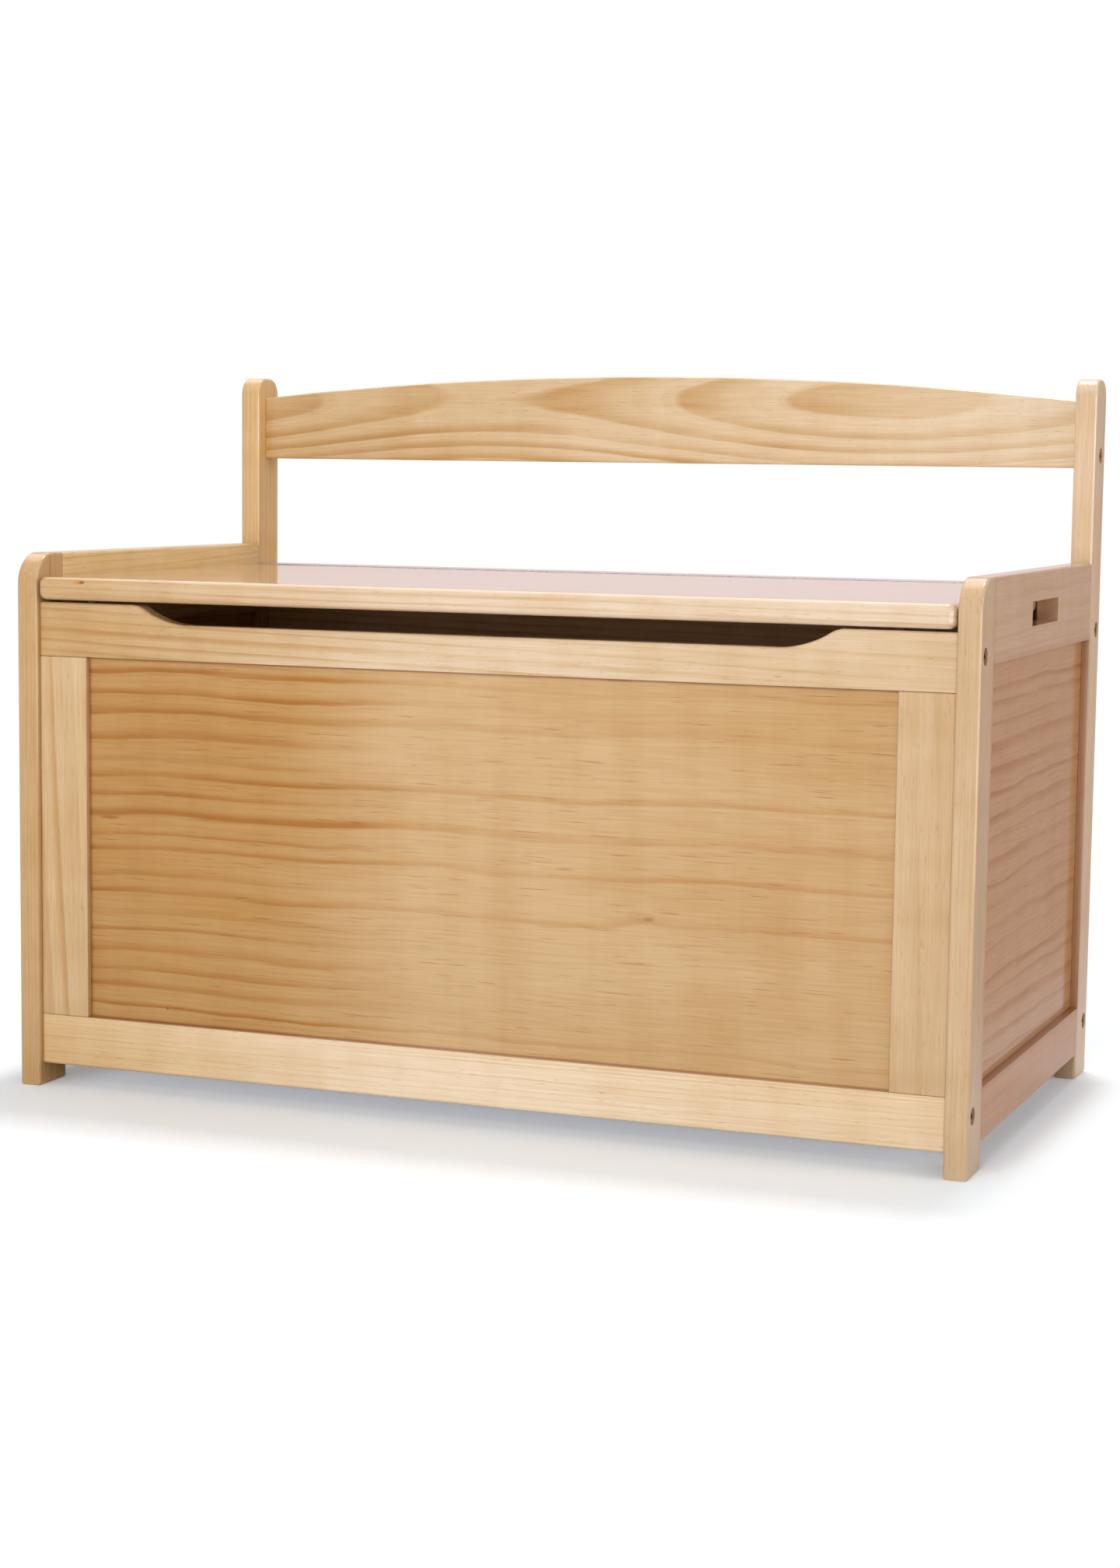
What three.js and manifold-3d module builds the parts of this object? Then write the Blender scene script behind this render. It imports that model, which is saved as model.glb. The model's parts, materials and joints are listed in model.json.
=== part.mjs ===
// A toy box bench in clear-lacquered pine. Four posts carry two side frames with arm rails, a front
// and a back frame and an arched backrest. The seat is the box's lid, hinged on a fixed rear strip.
// Millimetres, +Z up. The front faces -Y, and +X is on the right of someone who looks at it.
import * as THREE from 'three';
import { mergeVertices } from 'three/addons/utils/BufferGeometryUtils.js';
import Module from 'manifold-3d';

// Overall
const WIDTH = 832;                  // over the outer faces of the posts
const DEPTH = 446;                  // over the front and rear faces of the posts
const SEAT_HEIGHT = 437.25;         // top of the lid

// Posts
const POST_THICKNESS = 19;          // along X, and the side frames' thickness
const POST_WIDTH = 42;              // along Y
const ARM_RISE = 19.75;             // the arm rails and the front posts above the seat
const FRONT_POST_ROUND = 27;        // its front top corner
const BACK_POST_RISE = 178.75;      // the back posts above the seat
const BACK_POST_ROUND = 16;         // both its top corners
const EDGE_ROUND = 2.5;             // eased arrises of posts and rails

// Joinery
const GLUE_LINE = 0.1;              // between glued or seated faces
const PANEL_THICKNESS = 6;          // plywood, and the stub tenons that share its grooves
const GROOVE_PLAY = 0.1;            // on each face of what sits in a groove
const GROOVE_DEPTH = 8;
const GROOVE_END_PLAY = 1;          // between an edge and the floor of its groove
const TENON_INSET = 8;              // keeps the stub tenons off a frame's outer edges

// Side frames
const ARM_RAIL_HEIGHT = 66.5;
const SIDE_RAIL_BASE = 21.25;
const SIDE_RAIL_HEIGHT = 43.25;
const SLOT_LENGTH = 100;            // hand slot through each arm rail
const SLOT_HEIGHT = 19.5;
const SLOT_DROP = 34;               // from the arm rail's top to the slot's middle

// Front and back frames
const FRAME_THICKNESS = 17;
const FRAME_SETBACK = 5.25;         // behind the faces of the posts
const BOTTOM_RAIL_BASE = 19;
const BOTTOM_RAIL_HEIGHT = 43.25;
const TOP_RAIL_HEIGHT = 45.5;
const STILE_WIDTH = 44.75;
const SCOOP_WIDTH = 606;            // finger scoop in the front top rail, between its upper corners
const SCOOP_RUN = 26;               // how far each sloping end leans in
const SCOOP_DEPTH = 15.75;
const SCOOP_LIP_ROUND = 20;
const SCOOP_FLOOR_ROUND = 70;

// Backrest
const BACKREST_THICKNESS = 19;
const BACKREST_SETBACK = 15;        // behind the front faces of the back posts
const BACKREST_RAISE = 101.75;      // its lower edge above the seat
const BACKREST_END_HEIGHT = 58.5;
const BACKREST_RISE = 20.5;         // of the arch above its ends

// Floor
const CLEAT_SIZE = 15;
const CLEAT_BASE = 25;
const FLOOR_PLAY = 1;               // around the loose floor panel

// Lid, rear strip and bumpers
const BOARD_THICKNESS = 19;
const BOARD_ROUND = 5;              // arrises on top of the lid and the strip
const UNDER_ROUND = 3;              // their other arrises, the seam's among them
const BOARD_CORNER = 8;             // their outer corners in plan
const SEAM_CORNER = 4;
const LID_OVERHANG = 2;             // in front of the posts
const LID_SIDE_GAP = 1.25;
const LID_GAP = 2.25;               // above the front top rail
const LEDGER_SIZE = 20;
const LEDGER_END_GAP = 7;
const BUMPER_RADIUS = 5;
const BUMPER_END_GAP = 47;          // from a post to a bumper's middle

// Hinge: a continuous friction hinge let into the seam between the lid and the strip
const HINGE_FROM_BACK = 52;         // from the rear faces of the posts to its axis
const HINGE_SINK = 1;               // its axis below the seat's surface
const HINGE_END_GAP = 7;            // from the posts to its ends
const SEAM = 3;                     // between the lid and the strip
const LEAF_THICKNESS = 1;
const LEAF_HEIGHT = 15;
const KNUCKLE_RADIUS = 1.75;
const KNUCKLE_COUNT = 13;
const KNUCKLE_PLAY = 0.5;           // between neighbouring knuckles
const PIN_RADIUS = 0.8;
const PIN_PLAY = 0.1;

// Fasteners
const BOLT_RADIUS = 3;
const BOLT_LENGTH = 60;             // under the head
const BOLT_PLAY = 0.3;              // around shanks and nuts
const BOLT_END_ROOM = 2;            // beyond a bolt's tip
const THREAD_PLAY = 0.15;
const HEAD_RADIUS = 6.5;
const HEAD_THICKNESS = 2.5;
const HEAD_SINK = 1;                // below the post's outer face
const HEAD_PLAY = 0.5;
const SOCKET_RADIUS = 2.3;          // hexagon, over its corners
const SOCKET_DEPTH = 3;
const NUT_RADIUS = 5;
const NUT_LENGTH = 12;
const NUT_FROM_END = 30;            // from a rail's end to its nut's axis
const NUT_SLOT_WIDTH = 1.2;
const NUT_SLOT_DEPTH = 1.5;
const TOP_BOLT_RISE = 27.5;         // above the base of the top rails
const BOTTOM_BOLT_RISE = 29;        // above the base of the bottom rails
const BACKREST_BOLT_RISE = 11;      // above the base of the backrest
const DOWEL_RADIUS = 4;
const DOWEL_PLAY = 0.15;
const DOWEL_RISE = 42;              // above the base of the backrest
const DOWEL_IN_POST = 12;
const DOWEL_IN_RAIL = 25;
const SCREW_RADIUS = 2;
const SCREW_HEAD_RADIUS = 4;
const SCREW_HEAD_HEIGHT = 2.5;
const SCREW_IN_BOARD = 12;
const SCREW_END_GAP = 97;           // from a post to the outer screws

// Facets
const ARC_STEPS = 3;                // half the segments of a rounded corner
const EASED_STEPS = 2;
const ARCH_STEPS = 16;
const ROUND_SIDES = 16;

// Places that several pieces share. Y counts back from the front faces of the posts.
const frontPostHeight = SEAT_HEIGHT + ARM_RISE;
const backPostHeight = SEAT_HEIGHT + BACK_POST_RISE;
const backrestBase = SEAT_HEIGHT + BACKREST_RAISE;
const innerX = WIDTH / 2 - POST_THICKNESS;
const sideCentreX = WIDTH / 2 - POST_THICKNESS / 2;
const railEndX = innerX - GLUE_LINE;
const stileInnerX = railEndX - STILE_WIDTH;
const backPostFront = DEPTH - POST_WIDTH;
const sideRailSpan = [POST_WIDTH + GLUE_LINE, backPostFront - GLUE_LINE];
const sideRailTop = SIDE_RAIL_BASE + SIDE_RAIL_HEIGHT;
const armRailBase = frontPostHeight - ARM_RAIL_HEIGHT;
const frontFrame = [FRAME_SETBACK, FRAME_SETBACK + FRAME_THICKNESS];
const backFrame = [DEPTH - FRAME_SETBACK - FRAME_THICKNESS, DEPTH - FRAME_SETBACK];
const boardBase = SEAT_HEIGHT - BOARD_THICKNESS;
const frontRailTop = boardBase - LID_GAP;
const topRailBase = frontRailTop - TOP_RAIL_HEIGHT;
const bottomRailTop = BOTTOM_RAIL_BASE + BOTTOM_RAIL_HEIGHT;
const backrest = [backPostFront + BACKREST_SETBACK, backPostFront + BACKREST_SETBACK + BACKREST_THICKNESS];
const grooveWidth = PANEL_THICKNESS + 2 * GROOVE_PLAY;
const tongue = GROOVE_DEPTH - GROOVE_END_PLAY;
const hingeY = DEPTH - HINGE_FROM_BACK;
const hingeZ = SEAT_HEIGHT - HINGE_SINK;
const lidBack = hingeY - SEAM / 2;
const stripFront = hingeY + SEAM / 2;
const cleatTop = CLEAT_BASE + CLEAT_SIZE;
const ledgerBack = backFrame[0] - GLUE_LINE;
const ledgerCentre = ledgerBack - LEDGER_SIZE / 2;
const ledgerTop = boardBase - GLUE_LINE;
const ledgerBase = ledgerTop - LEDGER_SIZE;
const pocketDepth = HEAD_THICKNESS + HEAD_SINK;

const middle = ([low, high]) => (low + high) / 2;
const around = (centre, width) => [centre - width / 2, centre + width / 2];

// A span with room at both ends, for what cuts or trims through a face.
const grown = ([low, high]) => [low - 1, high + 1];

// The span from `inner` to `outer` on the right side, or its mirror image on the left.
const across = (side, inner, outer) => (side > 0 ? [inner, outer] : [-outer, -inner]);

const SIDES = [
  { name: 'left', side: -1 },
  { name: 'right', side: 1 },
];

// What each bolt joins: its axis in the post, and which way its nut's hole opens.
const JOINTS = [
  { name: 'front_top', y: middle(frontFrame), z: topRailBase + TOP_BOLT_RISE, opens: 1 },
  { name: 'front_bottom', y: middle(frontFrame), z: BOTTOM_RAIL_BASE + BOTTOM_BOLT_RISE, opens: 1 },
  { name: 'back_top', y: middle(backFrame), z: topRailBase + TOP_BOLT_RISE, opens: -1 },
  { name: 'back_bottom', y: middle(backFrame), z: BOTTOM_RAIL_BASE + BOTTOM_BOLT_RISE, opens: -1 },
  { name: 'backrest', y: middle(backrest), z: backrestBase + BACKREST_BOLT_RISE, opens: 1 },
];
const jointOf = (name) => JOINTS.find((joint) => joint.name === name);

// --- Shapes ---------------------------------------------------------------------------------------

const wasm = await Module();
wasm.setup();

// A box from three spans.
function box(x, y, z) {
  const geometry = new THREE.BoxGeometry(x[1] - x[0], y[1] - y[0], z[1] - z[0]);
  return geometry.translate(middle(x), middle(y), middle(z));
}

// A closed outline through corners [u, v, radius]. Two neighbouring arcs that need more than the
// straight between them share it.
function outline(corners) {
  const points = corners.map(([u, v]) => new THREE.Vector2(u, v));
  const wrap = (i) => (i + points.length) % points.length;
  const edge = (i) => points[wrap(i + 1)].clone().sub(points[wrap(i)]);
  const turn = (i) => {
    const before = edge(i - 1);
    const after = edge(i);
    return Math.atan2(before.cross(after), before.dot(after));
  };
  const reach = (i) => (corners[wrap(i)][2] ?? 0) * Math.abs(Math.tan(turn(i) / 2));
  const room = (i) => edge(i).length() / Math.max(reach(i) + reach(i + 1), 1e-9);
  const shape = new THREE.Shape();
  points.forEach((corner, i) => {
    const share = Math.min(1, room(i - 1), room(i));
    const radius = (corners[i][2] ?? 0) * share;
    if (radius === 0) {
      if (i === 0) shape.moveTo(corner.x, corner.y);
      else shape.lineTo(corner.x, corner.y);
      return;
    }
    const start = corner.clone().addScaledVector(edge(i - 1).normalize(), -reach(i) * share);
    const end = corner.clone().addScaledVector(edge(i).normalize(), reach(i) * share);
    const heading = edge(i - 1).normalize();
    const inward = new THREE.Vector2(-heading.y, heading.x).multiplyScalar(Math.sign(turn(i)));
    const centre = start.clone().addScaledVector(inward, radius);
    const from = start.sub(centre).angle();
    const to = end.sub(centre).angle();
    shape.absarc(centre.x, centre.y, radius, from, to, turn(i) < 0);
  });
  return shape;
}

const AXIS_FRAMES = {
  x: new THREE.Matrix4().makeBasis(
    new THREE.Vector3(0, 1, 0), new THREE.Vector3(0, 0, 1), new THREE.Vector3(1, 0, 0)),
  y: new THREE.Matrix4().makeBasis(
    new THREE.Vector3(1, 0, 0), new THREE.Vector3(0, 0, 1), new THREE.Vector3(0, -1, 0)),
  z: new THREE.Matrix4(),
};

// Extrudes an outline along an axis over a span. An outline along x is drawn in (y, z), along y in
// (x, z) and along z in (x, y). `round` eases the arrises at both ends of the span.
function extrude(shape, axis, span, round = 0) {
  const geometry = new THREE.ExtrudeGeometry(shape, {
    depth: span[1] - span[0] - 2 * round,
    curveSegments: ARC_STEPS,
    bevelEnabled: round > 0,
    bevelThickness: round,
    bevelSize: round,
    bevelOffset: -round,
    bevelSegments: EASED_STEPS,
  });
  geometry.translate(0, 0, axis === 'y' ? round - span[1] : round + span[0]);
  return geometry.applyMatrix4(AXIS_FRAMES[axis]);
}

// A round rod along an axis over a span; `centre` is its two other coordinates in x, y, z order.
function rod(axis, centre, radius, span, sides = ROUND_SIDES) {
  const geometry = new THREE.CylinderGeometry(radius, radius, span[1] - span[0], sides);
  const [a, b] = centre;
  if (axis === 'x') return geometry.rotateZ(Math.PI / 2).translate(middle(span), a, b);
  if (axis === 'y') return geometry.translate(a, middle(span), b);
  return geometry.rotateX(Math.PI / 2).translate(a, b, middle(span));
}

function solid(geometry) {
  geometry.deleteAttribute('normal');
  geometry.deleteAttribute('uv');
  const merged = mergeVertices(geometry);
  return new wasm.Manifold(new wasm.Mesh({
    numProp: 3,
    vertProperties: merged.attributes.position.array,
    triVerts: Uint32Array.from(merged.index.array),
  }));
}

const cut = (body, ...tools) => tools.reduce((left, tool) => left.subtract(solid(tool)), body);
const join = (body, ...others) => others.reduce((sum, other) => sum.add(solid(other)), body);
const keep = (body, x, y, z) => body.intersect(solid(box(x, y, z)));

// --- Pieces ---------------------------------------------------------------------------------------

const toyBox = new THREE.Group();
toyBox.position.y = (LID_OVERHANG - DEPTH) / 2;

const FINISHES = {
  pine: { color: '#e2c396', roughness: 0.38, metalness: 0 },
  plywood: { color: '#d0a66b', roughness: 0.42, metalness: 0 },
  bronze: { color: '#8a6a45', roughness: 0.4, metalness: 0.8 },
  steel: { color: '#b9bcc0', roughness: 0.35, metalness: 1 },
  rubber: { color: '#4a3020', roughness: 0.7, metalness: 0 },
};

// Adds one named piece, made of a geometry or of a cut solid.
function piece(name, body, finish) {
  let geometry = body;
  if (!body.isBufferGeometry) {
    const { vertProperties, triVerts } = body.getMesh();
    geometry = new THREE.BufferGeometry();
    geometry.setAttribute('position', new THREE.BufferAttribute(vertProperties, 3));
    geometry.setIndex(new THREE.BufferAttribute(triVerts, 1));
    geometry = geometry.toNonIndexed();
    geometry.computeVertexNormals();
  }
  const mesh = new THREE.Mesh(geometry, new THREE.MeshStandardMaterial(FINISHES[finish]));
  mesh.name = name;
  toyBox.add(mesh);
}

// The bolt's clearance hole through a post, with the pocket for its head.
function boltHoles(side, joint) {
  const centre = [joint.y, joint.z];
  const hole = across(side, innerX - 1, WIDTH / 2 + 1);
  const pocket = across(side, WIDTH / 2 - pocketDepth, WIDTH / 2 + 1);
  return [
    rod('x', centre, BOLT_RADIUS + BOLT_PLAY, hole),
    rod('x', centre, HEAD_RADIUS + HEAD_PLAY, pocket),
  ];
}

// The bolt's and the nut's holes in both ends of a rail whose faces lie at `faces`.
function nutHoles(joint, faces) {
  return SIDES.flatMap(({ side }) => {
    const boltEnd = WIDTH / 2 - pocketDepth - BOLT_LENGTH - BOLT_END_ROOM;
    const nutFloor = joint.y - joint.opens * (NUT_LENGTH / 2 + BOLT_PLAY);
    const nutMouth = joint.opens > 0 ? faces[1] + 1 : faces[0] - 1;
    const nutSpan = joint.opens > 0 ? [nutFloor, nutMouth] : [nutMouth, nutFloor];
    const nutX = side * (railEndX - NUT_FROM_END);
    return [
      rod('x', [joint.y, joint.z], BOLT_RADIUS + BOLT_PLAY, across(side, boltEnd, railEndX + 1)),
      rod('y', [nutX, joint.z], NUT_RADIUS + BOLT_PLAY, nutSpan),
    ];
  });
}

// The groove in a post's edge for the side panel and the rails' stub tenons.
function postGroove(side, mouth, into) {
  const depth = into > 0 ? [mouth - 1, mouth + GROOVE_DEPTH] : [mouth - GROOVE_DEPTH, mouth + 1];
  const height = [SIDE_RAIL_BASE + TENON_INSET - GLUE_LINE, frontPostHeight - TENON_INSET + GLUE_LINE];
  return box(around(side * sideCentreX, grooveWidth), depth, height);
}

function frontPost(side) {
  const beyond = POST_WIDTH + 2 * EDGE_ROUND;
  const profile = outline([
    [0, 0],
    [beyond, 0],
    [beyond, frontPostHeight],
    [0, frontPostHeight, FRONT_POST_ROUND],
  ]);
  const thickness = across(side, innerX, WIDTH / 2);
  const eased = solid(extrude(profile, 'x', thickness, EDGE_ROUND));
  const post = keep(eased, grown(thickness), [-1, POST_WIDTH], [-1, frontPostHeight + 1]);
  const holes = ['front_top', 'front_bottom'].flatMap((name) => boltHoles(side, jointOf(name)));
  return cut(post, postGroove(side, POST_WIDTH, -1), ...holes);
}

function backPost(side) {
  const profile = outline([
    [backPostFront, 0],
    [DEPTH, 0],
    [DEPTH, backPostHeight, BACK_POST_ROUND],
    [backPostFront, backPostHeight, BACK_POST_ROUND],
  ]);
  const thickness = across(side, innerX, WIDTH / 2);
  const squareEdge = box(
    thickness,
    [backPostFront, backPostFront + POST_WIDTH / 2],
    [SIDE_RAIL_BASE, frontPostHeight - EDGE_ROUND],
  );
  const dowelHole = rod(
    'x',
    [middle(backrest), backrestBase + DOWEL_RISE],
    DOWEL_RADIUS + DOWEL_PLAY,
    across(side, innerX - 1, innerX + DOWEL_IN_POST + DOWEL_PLAY),
  );
  const names = ['back_top', 'back_bottom', 'backrest'];
  const holes = names.flatMap((name) => boltHoles(side, jointOf(name)));
  const eased = solid(extrude(profile, 'x', thickness, EDGE_ROUND));
  return cut(join(eased, squareEdge), postGroove(side, backPostFront, 1), dowelHole, ...holes);
}

// A board from `low` to `high` in its height, with eased arrises on its free edge only: the other edge
// and both ends are square. `free` is 1 where the upper edge is free and -1 where the lower one is.
// `dip` holds corners of the upper edge, from its far end back.
function easedRail(axis, faces, ends, [low, high], free, dip = []) {
  const over = 2 * EDGE_ROUND;
  const base = free > 0 ? low - over : low;
  const top = free > 0 ? high : high + over;
  const profile = outline([
    [ends[0] - over, base],
    [ends[1] + over, base],
    [ends[1] + over, top],
    ...dip,
    [ends[0] - over, top],
  ]);
  const eased = solid(extrude(profile, axis, faces, EDGE_ROUND));
  if (axis === 'x') return keep(eased, grown(faces), ends, [low, high]);
  return keep(eased, ends, grown(faces), [low, high]);
}

// A side rail with stub tenons, grooved for the panel along the edge that isn't free.
function sideRail(side, height, free) {
  const [base, top] = height;
  const [front, back] = sideRailSpan;
  const centre = side * sideCentreX;
  const tenonHeight = free > 0 ? [base, top - TENON_INSET] : [base + TENON_INSET, top];
  const grooveHeight = free > 0 ? [base - 1, base + GROOVE_DEPTH] : [top - GROOVE_DEPTH, top + 1];
  const length = [front - tongue, back + tongue];
  const board = easedRail('x', across(side, innerX, WIDTH / 2), sideRailSpan, height, free);
  const tenon = box(around(centre, PANEL_THICKNESS), length, tenonHeight);
  const groove = box(around(centre, grooveWidth), grown(length), grooveHeight);
  return cut(join(board, tenon), groove);
}

function armRail(side) {
  const slot = box(
    across(side, innerX - 1, WIDTH / 2 + 1),
    around(DEPTH / 2, SLOT_LENGTH),
    around(frontPostHeight - SLOT_DROP, SLOT_HEIGHT),
  );
  return cut(sideRail(side, [armRailBase, frontPostHeight], 1), slot);
}

function sidePanel(side) {
  return box(
    around(side * sideCentreX, PANEL_THICKNESS),
    [POST_WIDTH - tongue, backPostFront + tongue],
    [sideRailTop - tongue, armRailBase + tongue],
  );
}

// A rail of the front or back frame, grooved for the panel along the edge that isn't free.
function frameRail(faces, height, free, joint, dip = []) {
  const [base, top] = height;
  const grooveHeight = free > 0 ? [base - 1, base + GROOVE_DEPTH] : [top - GROOVE_DEPTH, top + 1];
  const groove = box([-innerX, innerX], around(middle(faces), grooveWidth), grooveHeight);
  const board = easedRail('y', faces, [-railEndX, railEndX], height, free, dip);
  return cut(board, groove, ...nutHoles(joint, faces));
}

// The corners of the finger scoop, from the right.
function scoop() {
  const upper = SCOOP_WIDTH / 2;
  const lower = upper - SCOOP_RUN;
  const floor = frontRailTop - SCOOP_DEPTH;
  return [
    [upper, frontRailTop, SCOOP_LIP_ROUND],
    [lower, floor, SCOOP_FLOOR_ROUND],
    [-lower, floor, SCOOP_FLOOR_ROUND],
    [-upper, frontRailTop, SCOOP_LIP_ROUND],
  ];
}

// An upright between the rails, with a stub tenon at each end and a groove towards the panel.
function stile(side, faces) {
  const height = [bottomRailTop + GLUE_LINE, topRailBase - GLUE_LINE];
  const width = across(side, stileInnerX, railEndX);
  const tenons = [bottomRailTop - tongue, topRailBase + tongue];
  const tenon = box(width, around(middle(faces), PANEL_THICKNESS), tenons);
  const groove = box(
    across(side, stileInnerX - 1, stileInnerX + GROOVE_DEPTH),
    around(middle(faces), grooveWidth),
    [tenons[0] - 1, tenons[1] + 1],
  );
  return cut(join(solid(box(width, faces, height)), tenon), groove);
}

function framePanel(faces) {
  return box(
    [-stileInnerX - tongue, stileInnerX + tongue],
    around(middle(faces), PANEL_THICKNESS),
    [bottomRailTop - tongue, topRailBase + tongue],
  );
}

// The arched rail, from a circular arc through its ends' tops and its middle's.
function backrestRail() {
  const endTop = backrestBase + BACKREST_END_HEIGHT;
  const radius = (railEndX ** 2 + BACKREST_RISE ** 2) / (2 * BACKREST_RISE);
  const over = railEndX + 2 * EDGE_ROUND;
  const overAngle = Math.asin(over / radius);
  const arcCentre = endTop + BACKREST_RISE - radius;
  const shape = new THREE.Shape();
  shape.moveTo(-over, backrestBase);
  shape.lineTo(over, backrestBase);
  for (let step = 0; step <= ARCH_STEPS; step += 1) {
    const angle = overAngle * (1 - (2 * step) / ARCH_STEPS);
    shape.lineTo(radius * Math.sin(angle), arcCentre + radius * Math.cos(angle));
  }
  const eased = solid(extrude(shape, 'y', backrest, EDGE_ROUND));
  const height = [backrestBase, endTop + BACKREST_RISE];
  const board = keep(eased, [-railEndX, railEndX], grown(backrest), height);
  const dowelHoles = SIDES.map(({ side }) => rod(
    'x',
    [middle(backrest), backrestBase + DOWEL_RISE],
    DOWEL_RADIUS + DOWEL_PLAY,
    across(side, railEndX - DOWEL_IN_RAIL - DOWEL_PLAY, railEndX + 1),
  ));
  return cut(board, ...dowelHoles, ...nutHoles(jointOf('backrest'), backrest));
}

function dowel(side) {
  return rod(
    'x',
    [middle(backrest), backrestBase + DOWEL_RISE],
    DOWEL_RADIUS,
    across(side, railEndX - DOWEL_IN_RAIL, innerX + DOWEL_IN_POST),
  );
}

// A slab whose corners and arrises are rounded all alike.
function slab(halfWidth, y, z, corner, round) {
  const shape = outline([
    [-halfWidth, y[0], corner],
    [halfWidth, y[0], corner],
    [halfWidth, y[1], corner],
    [-halfWidth, y[1], corner],
  ]);
  return extrude(shape, 'z', z, round);
}

// A seat board, rounder on top of its outer edges. `seam` is 1 where the seam is behind the board, as
// on the lid, and -1 where it is in front, as on the rear strip.
function seatBoard(halfWidth, y, seam) {
  const over = 2 * BOARD_CORNER;
  const beyondSeam = seam > 0 ? [y[0], y[1] + over] : [y[0] - over, y[1]];
  const board = solid(slab(halfWidth, y, [boardBase, SEAT_HEIGHT], SEAM_CORNER, UNDER_ROUND));
  const outer = slab(halfWidth, beyondSeam, [boardBase - over, SEAT_HEIGHT], BOARD_CORNER, BOARD_ROUND);
  return board.intersect(solid(outer));
}

const screwPlaces = [SCREW_END_GAP - innerX, 0, innerX - SCREW_END_GAP];

function rearStrip() {
  const pilots = screwPlaces.map((x) => rod(
    'z',
    [x, ledgerCentre],
    SCREW_RADIUS + THREAD_PLAY,
    [boardBase - 1, boardBase + SCREW_IN_BOARD + THREAD_PLAY],
  ));
  return cut(seatBoard(railEndX, [stripFront, DEPTH], -1), ...pilots);
}

function seatLedger() {
  const halfWidth = innerX - LEDGER_END_GAP;
  const holes = screwPlaces.flatMap((x) => [
    rod('z', [x, ledgerCentre], SCREW_RADIUS + THREAD_PLAY, [ledgerBase - 1, ledgerTop + 1]),
    rod('z', [x, ledgerCentre], SCREW_HEAD_RADIUS + BOLT_PLAY, [
      ledgerBase - 1,
      ledgerBase + SCREW_HEAD_HEIGHT,
    ]),
  ]);
  const bar = box([-halfWidth, halfWidth], [ledgerBack - LEDGER_SIZE, ledgerBack], [ledgerBase, ledgerTop]);
  return cut(solid(bar), ...holes);
}

function ledgerScrew(x) {
  const centre = [x, ledgerCentre];
  const shank = rod('z', centre, SCREW_RADIUS, [ledgerBase + 1, boardBase + SCREW_IN_BOARD]);
  const head = rod('z', centre, SCREW_HEAD_RADIUS, [
    ledgerBase + GLUE_LINE,
    ledgerBase + SCREW_HEAD_HEIGHT - GLUE_LINE,
  ]);
  return join(solid(head), shank);
}

// A leaf of the hinge, on the lid's side (-1) or the strip's side (1) of its axis. Its knuckles are
// every second one along the pin, and the leaf is notched for the other leaf's.
function hingeLeaf(towards, first) {
  const length = 2 * (innerX - HINGE_END_GAP);
  const pitch = length / KNUCKLE_COUNT;
  const outer = SEAM / 2 - GLUE_LINE;
  const plate = across(towards, outer - LEAF_THICKNESS, outer);
  const thickness = [hingeY + plate[0], hingeY + plate[1]];
  const notchTop = hingeZ - KNUCKLE_RADIUS - 2 * THREAD_PLAY;
  const boreRadius = PIN_RADIUS + PIN_PLAY;
  let leaf = solid(box([-length / 2, length / 2], thickness, [hingeZ - LEAF_HEIGHT, notchTop]));
  for (let i = first; i < KNUCKLE_COUNT; i += 2) {
    const start = i * pitch - length / 2;
    const span = [start + KNUCKLE_PLAY / 2, start + pitch - KNUCKLE_PLAY / 2];
    const neck = box(span, thickness, [notchTop - 1, hingeZ - boreRadius]);
    leaf = join(leaf, neck, rod('x', [hingeY, hingeZ], KNUCKLE_RADIUS, span));
  }
  const bore = rod('x', [hingeY, hingeZ], boreRadius, [-length / 2 - 1, length / 2 + 1]);
  return cut(leaf, bore);
}

function bolt(side, joint) {
  const centre = [joint.y, joint.z];
  const headInner = WIDTH / 2 - pocketDepth + GLUE_LINE;
  const headOuter = headInner + HEAD_THICKNESS;
  const head = rod('x', centre, HEAD_RADIUS, across(side, headInner, headOuter));
  const shank = rod('x', centre, BOLT_RADIUS, across(side, headInner - BOLT_LENGTH, headInner + 1));
  const socket = rod('x', centre, SOCKET_RADIUS, across(side, headOuter - SOCKET_DEPTH, headOuter + 1), 6);
  return cut(join(solid(head), shank), socket);
}

// A cross-dowel nut: a plug across the rail with the bolt's thread through it and a driver slot.
function nut(side, joint) {
  const x = side * (railEndX - NUT_FROM_END);
  const span = around(joint.y, NUT_LENGTH);
  const thread = rod('x', [joint.y, joint.z], BOLT_RADIUS + THREAD_PLAY, around(x, 4 * NUT_RADIUS));
  const mouth = joint.opens > 0 ? span[1] : span[0];
  const slot = box(
    around(x, 4 * NUT_RADIUS),
    around(mouth, 2 * NUT_SLOT_DEPTH),
    around(joint.z, NUT_SLOT_WIDTH),
  );
  return cut(solid(rod('y', [x, joint.z], NUT_RADIUS, span)), thread, slot);
}

// --- Side frames ----------------------------------------------------------------------------------
for (const { name, side } of SIDES) {
  piece(`${name}_front_post`, frontPost(side), 'pine');
  piece(`${name}_back_post`, backPost(side), 'pine');
  piece(`${name}_arm_rail`, armRail(side), 'pine');
  piece(`${name}_bottom_rail`, sideRail(side, [SIDE_RAIL_BASE, sideRailTop], -1), 'pine');
  piece(`${name}_panel`, sidePanel(side), 'plywood');
}

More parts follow.
